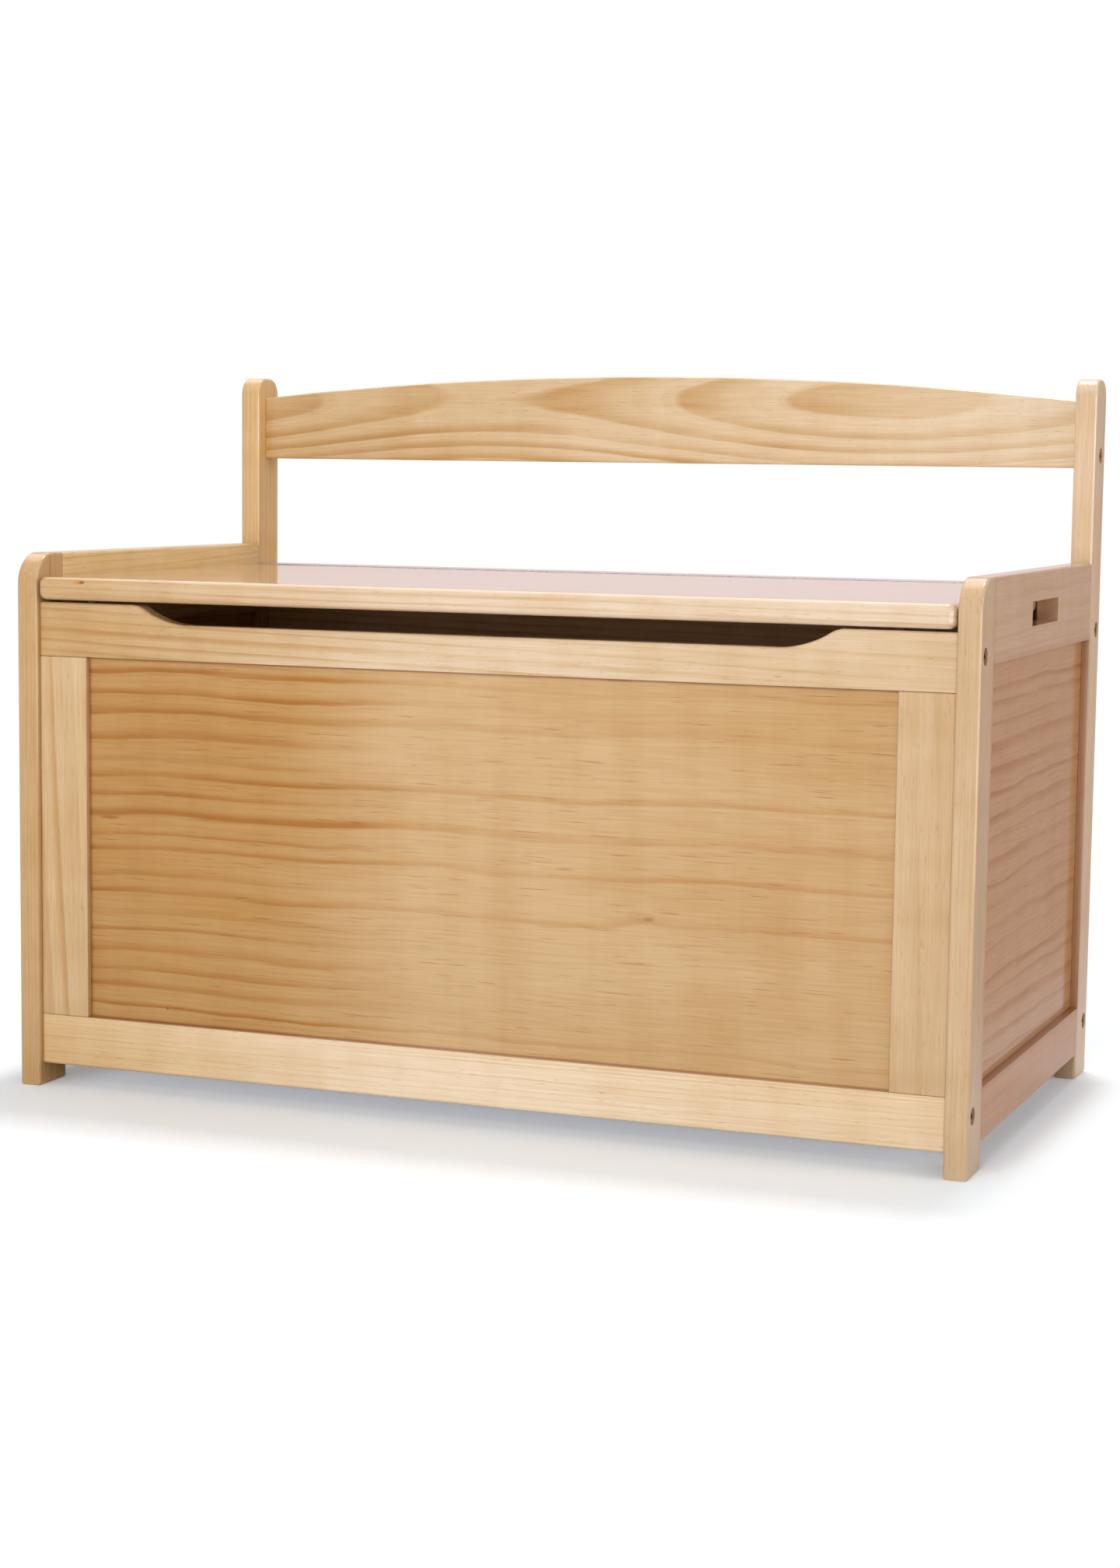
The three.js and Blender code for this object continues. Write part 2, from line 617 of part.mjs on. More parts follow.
// --- Front and back frames ------------------------------------------------------------------------
const bottomHeight = [BOTTOM_RAIL_BASE, bottomRailTop];
const frontTopHeight = [topRailBase, frontRailTop];
const backTopHeight = [topRailBase, boardBase - GLUE_LINE];
piece('front_top_rail', frameRail(frontFrame, frontTopHeight, 1, jointOf('front_top'), scoop()), 'pine');
piece('front_bottom_rail', frameRail(frontFrame, bottomHeight, -1, jointOf('front_bottom')), 'pine');
piece('back_top_rail', frameRail(backFrame, backTopHeight, 1, jointOf('back_top')), 'pine');
piece('back_bottom_rail', frameRail(backFrame, bottomHeight, -1, jointOf('back_bottom')), 'pine');
for (const { name, side } of SIDES) {
  piece(`front_${name}_stile`, stile(side, frontFrame), 'pine');
  piece(`back_${name}_stile`, stile(side, backFrame), 'pine');
}
piece('front_panel', framePanel(frontFrame), 'plywood');
piece('back_panel', framePanel(backFrame), 'plywood');

// --- Backrest -------------------------------------------------------------------------------------
piece('backrest_rail', backrestRail(), 'pine');
for (const { name, side } of SIDES) {
  piece(`${name}_backrest_dowel`, dowel(side), 'pine');
}

// --- Floor ----------------------------------------------------------------------------------------
const cleatHeight = [CLEAT_BASE, cleatTop];
const roomDepth = [frontFrame[1] + GLUE_LINE, backFrame[0] - GLUE_LINE];
for (const { name, side } of SIDES) {
  const width = across(side, railEndX - CLEAT_SIZE, railEndX);
  piece(`${name}_floor_cleat`, box(width, roomDepth, cleatHeight), 'pine');
}
const cleatEndX = railEndX - CLEAT_SIZE - GLUE_LINE;
const frontCleat = [roomDepth[0], roomDepth[0] + CLEAT_SIZE];
const backCleat = [roomDepth[1] - CLEAT_SIZE, roomDepth[1]];
piece('front_floor_cleat', box([-cleatEndX, cleatEndX], frontCleat, cleatHeight), 'pine');
piece('back_floor_cleat', box([-cleatEndX, cleatEndX], backCleat, cleatHeight), 'pine');
piece('floor_panel', box(
  [FLOOR_PLAY - innerX, innerX - FLOOR_PLAY],
  [frontFrame[1] + FLOOR_PLAY, backFrame[0] - FLOOR_PLAY],
  [cleatTop + GLUE_LINE, cleatTop + GLUE_LINE + PANEL_THICKNESS],
), 'plywood');

// --- Seat -----------------------------------------------------------------------------------------
piece('lid', seatBoard(innerX - LID_SIDE_GAP, [-LID_OVERHANG, lidBack], 1), 'pine');
piece('rear_strip', rearStrip(), 'pine');
piece('seat_ledger', seatLedger(), 'pine');
['left', 'middle', 'right'].forEach((name, i) => {
  piece(`${name}_ledger_screw`, ledgerScrew(screwPlaces[i]), 'steel');
});
const bumperHeight = [frontRailTop + GLUE_LINE, boardBase - GLUE_LINE];
for (const { name, side } of SIDES) {
  const centre = [side * (innerX - BUMPER_END_GAP), middle(frontFrame)];
  piece(`${name}_lid_bumper`, rod('z', centre, BUMPER_RADIUS, bumperHeight), 'rubber');
}
piece('hinge_strip_leaf', hingeLeaf(1, 0), 'steel');
piece('hinge_lid_leaf', hingeLeaf(-1, 1), 'steel');
piece('hinge_pin', rod('x', [hingeY, hingeZ], PIN_RADIUS, [
  HINGE_END_GAP - innerX,
  innerX - HINGE_END_GAP,
]), 'steel');

// --- Bolts and nuts -------------------------------------------------------------------------------
for (const { name, side } of SIDES) {
  for (const joint of JOINTS) {
    piece(`${name}_${joint.name}_bolt`, bolt(side, joint), 'bronze');
    piece(`${name}_${joint.name}_nut`, nut(side, joint), 'steel');
  }
}

export default toyBox;
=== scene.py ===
"""Looks of a toy box with a bench seat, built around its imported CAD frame.

The toy box is clear-lacquered pine: two side frames with arm rails, a front and a back frame with
plywood panels, an arched backrest, a floor, and a lid that is the seat. Every board is modelled
again at its CAD node's place, with finer rounds and eased edges, and dressed in its own grain.
Lengths are in metres. Names that end in _mm hold millimetres, for patterns.
"""

import json
import logging
import math
from collections.abc import Callable
from dataclasses import dataclass, field
from enum import Enum

import bmesh
import bpy
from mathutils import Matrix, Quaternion, Vector

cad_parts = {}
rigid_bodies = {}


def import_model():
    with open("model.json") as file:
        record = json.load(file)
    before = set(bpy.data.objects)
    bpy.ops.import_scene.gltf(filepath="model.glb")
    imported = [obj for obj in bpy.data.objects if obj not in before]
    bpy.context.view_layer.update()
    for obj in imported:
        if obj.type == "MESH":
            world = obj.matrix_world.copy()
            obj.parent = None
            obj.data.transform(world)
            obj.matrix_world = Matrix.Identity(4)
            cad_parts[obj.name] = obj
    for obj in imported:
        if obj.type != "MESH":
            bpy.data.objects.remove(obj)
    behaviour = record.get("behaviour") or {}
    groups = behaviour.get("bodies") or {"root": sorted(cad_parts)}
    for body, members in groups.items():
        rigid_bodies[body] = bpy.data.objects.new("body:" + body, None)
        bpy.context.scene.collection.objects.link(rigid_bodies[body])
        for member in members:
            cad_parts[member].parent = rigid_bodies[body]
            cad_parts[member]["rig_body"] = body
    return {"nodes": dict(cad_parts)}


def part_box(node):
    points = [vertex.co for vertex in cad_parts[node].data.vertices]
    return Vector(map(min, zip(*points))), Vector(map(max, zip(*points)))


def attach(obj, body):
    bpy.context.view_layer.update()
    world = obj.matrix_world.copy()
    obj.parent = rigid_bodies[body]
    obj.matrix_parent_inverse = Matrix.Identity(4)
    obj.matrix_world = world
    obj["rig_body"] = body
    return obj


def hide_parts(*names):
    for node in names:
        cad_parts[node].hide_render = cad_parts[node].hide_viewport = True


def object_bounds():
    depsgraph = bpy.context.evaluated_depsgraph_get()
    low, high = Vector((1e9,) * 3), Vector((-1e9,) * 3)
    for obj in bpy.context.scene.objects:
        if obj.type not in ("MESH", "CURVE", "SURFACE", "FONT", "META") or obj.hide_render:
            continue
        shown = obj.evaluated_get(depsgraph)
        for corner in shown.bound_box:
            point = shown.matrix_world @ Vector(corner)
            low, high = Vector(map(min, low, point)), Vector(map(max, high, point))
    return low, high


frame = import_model()
cad_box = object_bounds()
log = logging.getLogger("toy_box")

MM = 0.001
X, Y, Z = 0, 1, 2
CLOSE = 0.005 * MM                 # two places nearer than this are the same
FAR = 9.0                          # farther off than any place on the toy box

# Edges
ARRIS = 2.5 * MM                   # routed round of the frames' free edges
BOARD_ROUND = 6.0 * MM             # routed round along the seat boards' outer edges
SEAM_ROUND = 1.2 * MM              # and along their seam
SANDED = 0.4 * MM                  # every other edge, broken with sandpaper
FRONT_POST_ROUND = 27.0 * MM
BACK_POST_ROUND = 16.0 * MM
BOARD_CORNER = 8.0 * MM            # seat boards' outer corners, in plan
SEAM_CORNER = 4.0 * MM
SLOT_RIM = 1.0 * MM

# Joinery
GLUE_LINE = 0.1 * MM
GROOVE_PLAY = 0.1 * MM
GROOVE_DEPTH = 8.0 * MM
TONGUE = 7.0 * MM                  # how far panels and stub tenons reach into a groove
PANEL_THICKNESS = 6.0 * MM
TENON_INSET = 8.0 * MM             # keeps the stub tenons off a frame's outer edges

# Openings and arches
SLOT_LENGTH = 100.0 * MM
SLOT_HEIGHT = 19.5 * MM
SLOT_DROP = 34.0 * MM              # from the arm rail's top to the slot's middle
SCOOP_WIDTH = 606.0 * MM
SCOOP_RUN = 26.0 * MM
SCOOP_DEPTH = 15.75 * MM
SCOOP_LIP_ROUND = 20.0 * MM
SCOOP_FLOOR_ROUND = 70.0 * MM
BACKREST_RISE = 20.5 * MM

# Fasteners
BOLT_PLAY = 0.3 * MM
HEAD_PLAY = 0.5 * MM
HEAD_RADIUS = 6.5 * MM
HEAD_THICKNESS = 2.5 * MM
SHANK_RADIUS = 3.0 * MM
BOLT_END_ROOM = 2.0 * MM
SOCKET_RADIUS = 2.3 * MM
SOCKET_DEPTH = 2.0 * MM
SCREW_RADIUS = 2.0 * MM
SCREW_HEAD_RADIUS = 4.0 * MM
SCREW_HEAD_HEIGHT = 2.5 * MM
DOWEL_PLAY = 0.15 * MM
CHAMFER = 0.6 * MM                 # on bolts
FACETS = 5                         # in a routed round

# Painted shade in the joints and recesses, partly lacquer that gathered and darkened there: how far it
# reaches in mm, and how much of the colour it has
ON_PANEL = (2.2, 0.55)             # on a panel, along the frame around it
AT_SIDE_PANEL = (9.0, 0.7)         # on a side frame, along its panel
AT_PANEL = (6.0, 0.35)             # on the front and back frames, along theirs
AT_SIDE_POST = (1.2, 0.4)          # on the side rails' ends
AT_POST = (1.6, 0.6)               # on the front and back rails' ends and the stiles' outer edges
AT_RAIL = (1.0, 0.6)               # on the stiles' shoulders


def linear(colour: str) -> tuple[float, float, float, float]:
    """Turns a hex sRGB colour into a linear one.

    Args:
        colour: Six hex digits after a hash sign.

    Returns:
        Red, green and blue in linear light, and an alpha of 1.
    """
    parts = [int(colour[i:i + 2], 16) / 255 for i in (1, 3, 5)]
    red, green, blue = (c / 12.92 if c <= 0.04045 else ((c + 0.055) / 1.055) ** 2.4 for c in parts)
    return red, green, blue, 1.0


# --- Finishes -------------------------------------------------------------------------------------

class Grain(Enum):
    """The axis that a board's grain runs along, and the turn of its pattern in radians."""

    ALONG_X = (X, (0.0, 0.0, 0.0))
    ALONG_Y = (Y, (0.0, 0.0, math.pi / 2))
    ALONG_Z = (Z, (0.0, -math.pi / 2, 0.0))

    @property
    def axis(self) -> int:
        """The axis: X, Y or Z."""
        return self.value[0]

    @property
    def turn(self) -> tuple[float, float, float]:
        """The turn that lays the pattern along that axis."""
        return self.value[1]


class Recipe:
    """The node tree of a material, or of the world, in the making."""

    def __init__(self, owner: bpy.types.Material | bpy.types.World) -> None:
        """Starts with an empty tree.

        Args:
            owner: The material or the world.
        """
        self.owner = owner
        self.owner.use_nodes = True
        self.tree = self.owner.node_tree
        self.tree.nodes.clear()

    def add(self, kind: str, inputs: dict | None = None, out: int | str = 0,
            **settings: object) -> bpy.types.NodeSocket | None:
        """Adds a node with its settings, values and links.

        Args:
            kind: The node's type, without its ShaderNode prefix.
            inputs: Values or other nodes' outputs, by the input's name or number.
            out: The name or number of the output to return.
            settings: The node's own settings, such as operation="ADD".

        Returns:
            The chosen output, or None for a node that has none.
        """
        node = self.tree.nodes.new("ShaderNode" + kind)
        for name, value in settings.items():
            setattr(node, name, value)
        for key, value in (inputs or {}).items():
            if isinstance(value, bpy.types.NodeSocket):
                self.tree.links.new(value, node.inputs[key])
            else:
                node.inputs[key].default_value = value
        return node.outputs[out] if node.outputs else None

    def finish(self, shader: bpy.types.NodeSocket) -> bpy.types.Material:
        """Ends the tree in its output.

        Args:
            shader: What the surface is made of.

        Returns:
            The finished material.
        """
        self.add("OutputMaterial", {"Surface": shader})
        return self.owner


@dataclass(frozen=True)
class Knot:
    """A branch that the saw cut through, or the dark fleck that a small one leaves."""

    place_mm: tuple[float, float, float]   # from the board's middle: along the grain, then across it
    reach_mm: tuple[float, float, float]   # half its size the same three ways
    colour: str = "#9A5A26"
    depth: float = 1.0                     # how much of that colour it has
    bulge_mm: float = 0.0                  # how far the rings part around it


@dataclass(frozen=True)
class Cut:
    """How one board or veneer was cut from its log, and how that log grew."""

    grain: Grain
    ground: str                                            # the colour of its earlywood
    pith_mm: tuple[float, float]                           # the log's centre, across the grain
    ring_mm: float                                         # the width of a year ring
    taper: float = 0.01                                    # how fast the log gets thinner
    swell_mm: tuple[float, float, float] = (0.0, 1.0, 0.0)  # a slow wave in it: crest, length, height
    wave_mm: float = 2.0                                   # how far the rings swing,
    ripple_mm: float = 0.4                                 # and how far they ripple
    late: float = 0.3                                      # the share of a ring that is latewood
    lines: float = 0.5                                     # how dark that shows
    heartwood_and_painted_light: tuple[float, float, float] = (0.2, 0.2, 0.2)     # heartwood at the ends and in the middle, with painted shade and sheen on the front boards,
    figure: tuple[float, float, float] = (1.4, 1.4, 1.4)   # and how many of the rings show there
    turn_mm: tuple[float, float] | None = None             # where the start gives way to the middle
    uneven: float = 1.5                                    # how much the years differ, in rings
    stave_mm: float = 0.0                                  # width of the staves in a glued-up board
    knots: tuple[Knot, ...] = ()
    seed: float = 0.0


@dataclass(frozen=True)
class ShadePool:
    """Painted shade, partly lacquer that gathered and darkened there: inside the rim of an opening, or out
    from a sheet.
    """

    low: Vector              # the lowest corner of the opening or the sheet, in the row frame
    high: Vector             # and the highest
    width_mm: float          # how far the painted shade reaches
    depth: float             # how much of the darker colour it has
    inside: bool = True


@dataclass(frozen=True)
class LacqueredPine:
    """Radiata pine, planed, sanded and sprayed with clear lacquer.

    Wide pale earlywood and thin golden latewood give soft lines along the grain. The film lies smooth
    over them, so that rounded arrises catch a bright line and flats show a faint sheen at a slant.
    """

    label: str = "Clear-lacquered pine"
    summer: str = "#E2C999"          # tints over the ground: latewood,
    heart: str = "#E4D0A8"           # golden heartwood, which also paints shade and sheen along the front boards,
    fibre: str = "#F1E8DA"           # fibres
    canal: str = "#B98E66"           # and resin canals
    least_line: float = 0.35         # how much of a line is left where it fades
    mottle: float = 0.25             # how golden the bars across the grain are
    patches: float = 0.18            # and how far broad patches are more or less golden
    dashes: float = 0.35
    shade_amber: str = "#B48250"           # painted shade in the corners and joints, partly lacquer that gathered there
    film_roughness: float = 0.07

    # Real sizes of each pattern in mm, along and across the grain, and its detail
    PATTERNS = {
        "wander": (430.0, 90.0, 1.0),      # slow bends of the trunk
        "ripple": (110.0, 30.0, 2.0),      # small waves in the rings
        "tone": (260.0, 30.0, 2.0),        # broad shades of colour
        "fade": (220.0, 20.0, 2.0),        # where latewood comes and goes
        "fibre": (50.0, 1.4, 3.0),         # fibres, drawn ten times as coarse as they are, so they show
        "canal": (11.0, 0.8, 1.0),         # resin canals, drawn twice as coarse: short thin dashes
        "cloud": (34.0, 120.0, 1.0),       # faint bars across the grain, where the fibres lean
    }

    def dress(self, name: str, low: Vector, high: Vector, cut: Cut,
              shade_pools: tuple[ShadePool, ...] = ()) -> bpy.types.Material:
        """Makes the material for one board.

        Args:
            name: The board's name, in words.
            low: The board's lowest corner in the row frame.
            high: Its highest corner.
            cut: How the board was cut.
            shade_pools: Where shade is painted on it, partly lacquer that gathered there.

        Returns:
            The material, which reads Object coordinates.
        """
        recipe = Recipe(bpy.data.materials.new(f"{self.label}, {name}"))
        add = recipe.add
        place = add("TexCoord", out="Object")
        board = add("Mapping", {"Vector": place, "Location": (low + high) / 2, "Rotation": cut.grain.turn,
                                "Scale": (MM, MM, MM)}, vector_type="TEXTURE")
        wood, seed, shade = self.staves(recipe, board, cut) if cut.stave_mm else (board, cut.seed, None)
        fields = {}
        for key, (along, across, detail) in self.PATTERNS.items():
            spread = add("VectorMath", {0: wood, 1: (1 / along, 1 / across, 1 / across)},
                         operation="MULTIPLY")
            fields[key] = add("TexNoise", {"Vector": spread, "W": seed, "Scale": 1.0, "Detail": detail},
                              noise_dimensions="4D")
        reach_mm = (high - low)[cut.grain.axis] / 2 / MM
        # Heartwood at the ends and in the middle; on the front boards and the lid it also paints shade
        # towards the left end and a sheen in the middle
        heartwood_and_painted_light = self.blend(recipe, board, cut.heartwood_and_painted_light, cut.turn_mm or (-reach_mm, 0.0), reach_mm)
        patches = add("MapRange", {0: fields["tone"], 1: 0.3, 2: 0.7, 3: -self.patches, 4: self.patches})
        heartwood_and_painted_light = add("Math", {0: heartwood_and_painted_light, 1: patches}, operation="ADD", use_clamp=True)
        figure = self.blend(recipe, board, cut.figure, cut.turn_mm or (-reach_mm, 0.0), reach_mm)
        knots = [self.knot_distance(recipe, board, fields, knot) for knot in cut.knots]
        radius = self.radius(recipe, wood, fields, knots, cut)
        late = self.latewood(recipe, radius, fields, figure, cut)
        fibres = add("MapRange", {0: fields["fibre"], 1: 0.35, 2: 0.7, 3: 0.0, 4: 0.7})
        canals = add("MapRange", {0: fields["canal"], 1: 0.66, 2: 0.73, 3: 0.0, 4: self.dashes})
        bars = add("MapRange", {0: fields["cloud"], 1: 0.42, 2: 0.75, 3: 0.0, 4: self.mottle})
        ground = linear(cut.ground)
        for share, tint in ((heartwood_and_painted_light, self.heart), (bars, self.heart), (late, self.summer),
                            (fibres, self.fibre), (canals, self.canal)):
            ground = add("Mix", {0: share, 6: ground, 7: linear(tint)}, 2, data_type="RGBA",
                         blend_type="MULTIPLY")
        if shade:
            ground = add("HueSaturation", {"Value": shade, "Color": ground})
        for knot, distance in zip(cut.knots, knots):
            mask = add("MapRange", {0: distance, 1: 1.3, 2: 0.6, 3: 0.0, 4: knot.depth})
            ground = add("Mix", {0: mask, 6: ground, 7: linear(knot.colour)}, 2, data_type="RGBA")
        # Painted shade: darker in the corners, joints and recesses, partly lacquer that gathered there
        for shade_pool in shade_pools:
            ground = add("Mix", {0: self.painted_shade_share(recipe, place, shade_pool), 6: ground, 7: linear(self.shade_amber)}, 2,
                         data_type="RGBA", blend_type="MULTIPLY")
        relief = add("Bump", {"Strength": 0.4, "Distance": 0.05 * MM, "Height": fields["fibre"]})
        rough = add("MapRange", {0: fields["tone"], 1: 0.3, 2: 0.7, 3: 0.42, 4: 0.54})
        return recipe.finish(add("BsdfPrincipled", {
            "Base Color": ground, "Roughness": rough, "IOR": 1.5, "Specular IOR Level": 0.15,
            "Coat Weight": 1.0, "Coat IOR": 1.5, "Coat Roughness": self.film_roughness,
            "Normal": relief}))

    def painted_shade_share(self, recipe: Recipe, place: bpy.types.NodeSocket, shade_pool: ShadePool) -> bpy.types.NodeSocket:
        """Works out how much painted shade there is at a place, partly lacquer that gathered there.

        Args:
            recipe: The material in the making.
            place: The place in the row frame.
            shade_pool: Where the shade is painted.

        Returns:
            The share of the darker colour, from 0 to its depth.
        """
        add = recipe.add
        beyond = add("VectorMath", {0: place, 1: (shade_pool.low + shade_pool.high) / 2}, operation="SUBTRACT")
        beyond = add("VectorMath", {0: beyond}, operation="ABSOLUTE")
        beyond = add("VectorMath", {0: beyond, 1: (shade_pool.high - shade_pool.low) / 2}, operation="SUBTRACT")
        if shade_pool.inside:
            parts = [add("SeparateXYZ", {0: beyond}, axis) for axis in "XYZ"]
            distance = add("Math", {0: parts[0], 1: parts[1]}, operation="MAXIMUM")
            distance = add("Math", {0: distance, 1: parts[2]}, operation="MAXIMUM")
            distance = add("Math", {0: distance}, operation="ABSOLUTE")
        else:
            distance = add("VectorMath", {0: beyond, 1: (0.0, 0.0, 0.0)}, operation="MAXIMUM")
            distance = add("VectorMath", {0: distance}, "Value", operation="LENGTH")
        return add("MapRange", {0: distance, 1: shade_pool.width_mm * MM, 2: 0.3 * shade_pool.width_mm * MM,
                                3: 0.0, 4: shade_pool.depth})

    def staves(self, recipe: Recipe, board: bpy.types.NodeSocket, cut: Cut) -> tuple:
        """Splits a glued-up board into staves, each with a place in a log of its own.

        Args:
            recipe: The material in the making.
            board: The board's coordinates in mm.
            cut: How the board was cut.

        Returns:
            The staves' coordinates, their seeds and their brightness.
        """
        add = recipe.add
        across = add("SeparateXYZ", {0: board}, "Y")
        count = add("Math", {0: across, 1: cut.stave_mm}, operation="DIVIDE")
        number = add("Math", {0: count}, operation="FLOOR")
        luck = add("TexWhiteNoise", {"W": number}, "Value", noise_dimensions="1D")
        other_luck = add("Math", {0: luck, 1: 7.31}, operation="MULTIPLY")
        other_luck = add("Math", {0: other_luck}, operation="FRACT")
        back = add("Math", {0: number, 1: -cut.stave_mm}, operation="MULTIPLY")
        back = add("Math", {0: luck, 1: 60.0, 2: back}, operation="MULTIPLY_ADD")
        along = add("Math", {0: other_luck, 1: 900.0}, operation="MULTIPLY")
        up = add("Math", {0: other_luck, 1: 46.0}, operation="MULTIPLY")
        shift = add("CombineXYZ", {0: along, 1: back, 2: up})
        moved = add("VectorMath", {0: board, 1: shift}, operation="ADD")
        seed = add("Math", {0: luck, 1: 9.0, 2: cut.seed}, operation="MULTIPLY_ADD")
        bright = add("MapRange", {0: luck, 3: 0.96, 4: 1.03})
        return moved, seed, bright

    def blend(self, recipe: Recipe, board: bpy.types.NodeSocket, values: tuple[float, float, float],
              turn_mm: tuple[float, float], reach_mm: float) -> bpy.types.NodeSocket:
        """Blends a value smoothly from a board's start through its middle to its end.

        Args:
            recipe: The material in the making.
            board: The board's coordinates in mm.
            values: The value at the start, in the middle and at the end.
            turn_mm: Where the first gives way to the second.
            reach_mm: Half the board's length.

        Returns:
            The value at each place.
        """
        add = recipe.add
        start, middle, end = values
        along = add("SeparateXYZ", {0: board}, "X")
        first = add("MapRange", {0: along, 1: turn_mm[0], 2: turn_mm[1], 3: start - middle, 4: 0.0},
                    interpolation_type="SMOOTHSTEP")
        second = add("MapRange", {0: along, 1: 0.0, 2: reach_mm, 3: middle, 4: end},
                     interpolation_type="SMOOTHSTEP")
        return add("Math", {0: first, 1: second}, operation="ADD")

    def radius(self, recipe: Recipe, wood: bpy.types.NodeSocket, fields: dict,
               knots: list[bpy.types.NodeSocket], cut: Cut) -> bpy.types.NodeSocket:
        """Measures outwards from the pith, as the rings grew.

        Args:
            recipe: The material in the making.
            wood: The wood's coordinates in mm.
            fields: The noise fields by name.
            knots: How far each place is from each knot.
            cut: How the board was cut.

        Returns:
            The radius in mm, bent as the rings are.
        """
        add = recipe.add
        offset = add("VectorMath", {0: wood, 1: (0.0, *cut.pith_mm)}, operation="SUBTRACT")
        offset = add("VectorMath", {0: offset, 1: (0.0, 1.0, 1.0)}, operation="MULTIPLY")
        radius = add("VectorMath", {0: offset}, "Value", operation="LENGTH")
        along = add("SeparateXYZ", {0: wood}, "X")
        radius = add("Math", {0: along, 1: cut.taper, 2: radius}, operation="MULTIPLY_ADD")
        crest, length, height = cut.swell_mm
        if height:
            turn = add("MapRange", {0: along, 1: crest - length, 2: crest + length,
                                    3: -math.tau, 4: math.tau}, clamp=False)
            turn = add("Math", {0: turn}, operation="COSINE")
            radius = add("Math", {0: turn, 1: height, 2: radius}, operation="MULTIPLY_ADD")
        for key, size in (("wander", cut.wave_mm), ("ripple", cut.ripple_mm)):
            swing = add("MapRange", {0: fields[key], 3: -2 * size, 4: 2 * size})
            radius = add("Math", {0: radius, 1: swing}, operation="ADD")
        for knot, distance in zip(cut.knots, knots):
            if knot.bulge_mm:
                bulge = add("MapRange", {0: distance, 1: 4.0, 2: 0.5, 3: 0.0, 4: knot.bulge_mm},
                            interpolation_type="SMOOTHSTEP")
                radius = add("Math", {0: radius, 1: bulge}, operation="ADD")
        return radius

    def latewood(self, recipe: Recipe, radius: bpy.types.NodeSocket, fields: dict,
                 figure: bpy.types.NodeSocket, cut: Cut) -> bpy.types.NodeSocket:
        """Works out how much latewood shows: the year rings, and fainter lines between them.

        Args:
            recipe: The material in the making.
            radius: The radius in mm.
            fields: The noise fields by name.
            figure: How many of the rings show.
            cut: How the board was cut.

        Returns:
            The share of latewood colour, from 0 to 1.
        """
        add = recipe.add
        shown = None
        for spacing_mm, strength in ((cut.ring_mm, cut.lines), (0.27 * cut.ring_mm, 0.22 * cut.lines)):
            rings = add("Math", {0: radius, 1: spacing_mm}, operation="DIVIDE")
            years = add("TexNoise", {"W": rings, "Scale": 0.45, "Detail": 1.0}, noise_dimensions="1D")
            rings = add("Math", {0: years, 1: cut.uneven, 2: rings}, operation="MULTIPLY_ADD")
            year = add("Math", {0: rings}, operation="FRACT")
            number = add("Math", {0: rings}, operation="FLOOR")
            rise = add("MapRange", {0: year, 1: 0.88 - 1.3 * cut.late, 2: 0.88},
                       interpolation_type="SMOOTHSTEP")
            fall = add("MapRange", {0: year, 1: 0.88, 2: 1.0, 3: 1.0, 4: 0.0},
                       interpolation_type="SMOOTHSTEP")
            line = add("Math", {0: rise, 1: fall}, operation="MULTIPLY")
            luck = add("TexWhiteNoise", {"W": number}, "Value", noise_dimensions="1D")
            luck = add("Math", {0: luck, 1: figure}, operation="ADD")
            luck = add("MapRange", {0: luck, 1: 1.0, 2: 2.0, 3: 0.0, 4: strength})
            fading = add("MapRange", {0: fields["fade"], 1: 0.36, 2: 0.62, 3: self.least_line, 4: 1.0})
            line = add("Math", {0: line, 1: luck}, operation="MULTIPLY")
            line = add("Math", {0: line, 1: fading}, operation="MULTIPLY")
            shown = add("Math", {0: shown, 1: line}, operation="MAXIMUM") if shown else line
        return shown

    def knot_distance(self, recipe: Recipe, board: bpy.types.NodeSocket, fields: dict,
                      knot: Knot) -> bpy.types.NodeSocket:
        """Measures how far a place is from a knot, with an uneven rim.

        Args:
            recipe: The material in the making.
            board: The board's coordinates in mm.
            fields: The noise fields by name.
            knot: The knot.

        Returns:
            The distance, in the knot's own half sizes.
        """
        add = recipe.add
        offset = add("VectorMath", {0: board, 1: knot.place_mm}, operation="SUBTRACT")
        scaled = add("VectorMath", {0: offset, 1: tuple(1 / r for r in knot.reach_mm)},
                     operation="MULTIPLY")
        length = add("VectorMath", {0: scaled}, "Value", operation="LENGTH")
        uneven = add("MapRange", {0: fields["fade"], 1: 0.3, 2: 0.7, 3: -0.25, 4: 0.25})
        return add("Math", {0: length, 1: uneven}, operation="ADD")


@dataclass(frozen=True)
class LacqueredPlywood(LacqueredPine):
    """Pine plywood with a rotary-cut face, sprayed with clear lacquer.

    Peeling runs nearly along the year rings, so that the latewood shows as streaks which come and go,
    more tan than the solid boards, over faint bars where the knife chattered.
    """

    label: str = "Clear-lacquered pine plywood"
    summer: str = "#E1BE6F"
    heart: str = "#E6D1A1"
    canal: str = "#BE9460"
    least_line: float = 0.4
    mottle: float = 0.32
    patches: float = 0.22
    dashes: float = 0.5
    film_roughness: float = 0.1

    PATTERNS = {
        "wander": (360.0, 120.0, 1.0),
        "ripple": (95.0, 34.0, 2.0),
        "tone": (190.0, 45.0, 3.0),
        "fade": (240.0, 20.0, 2.0),
        "fibre": (45.0, 1.5, 3.0),
        "canal": (32.0, 1.1, 1.0),
        "cloud": (36.0, 240.0, 2.0),
    }


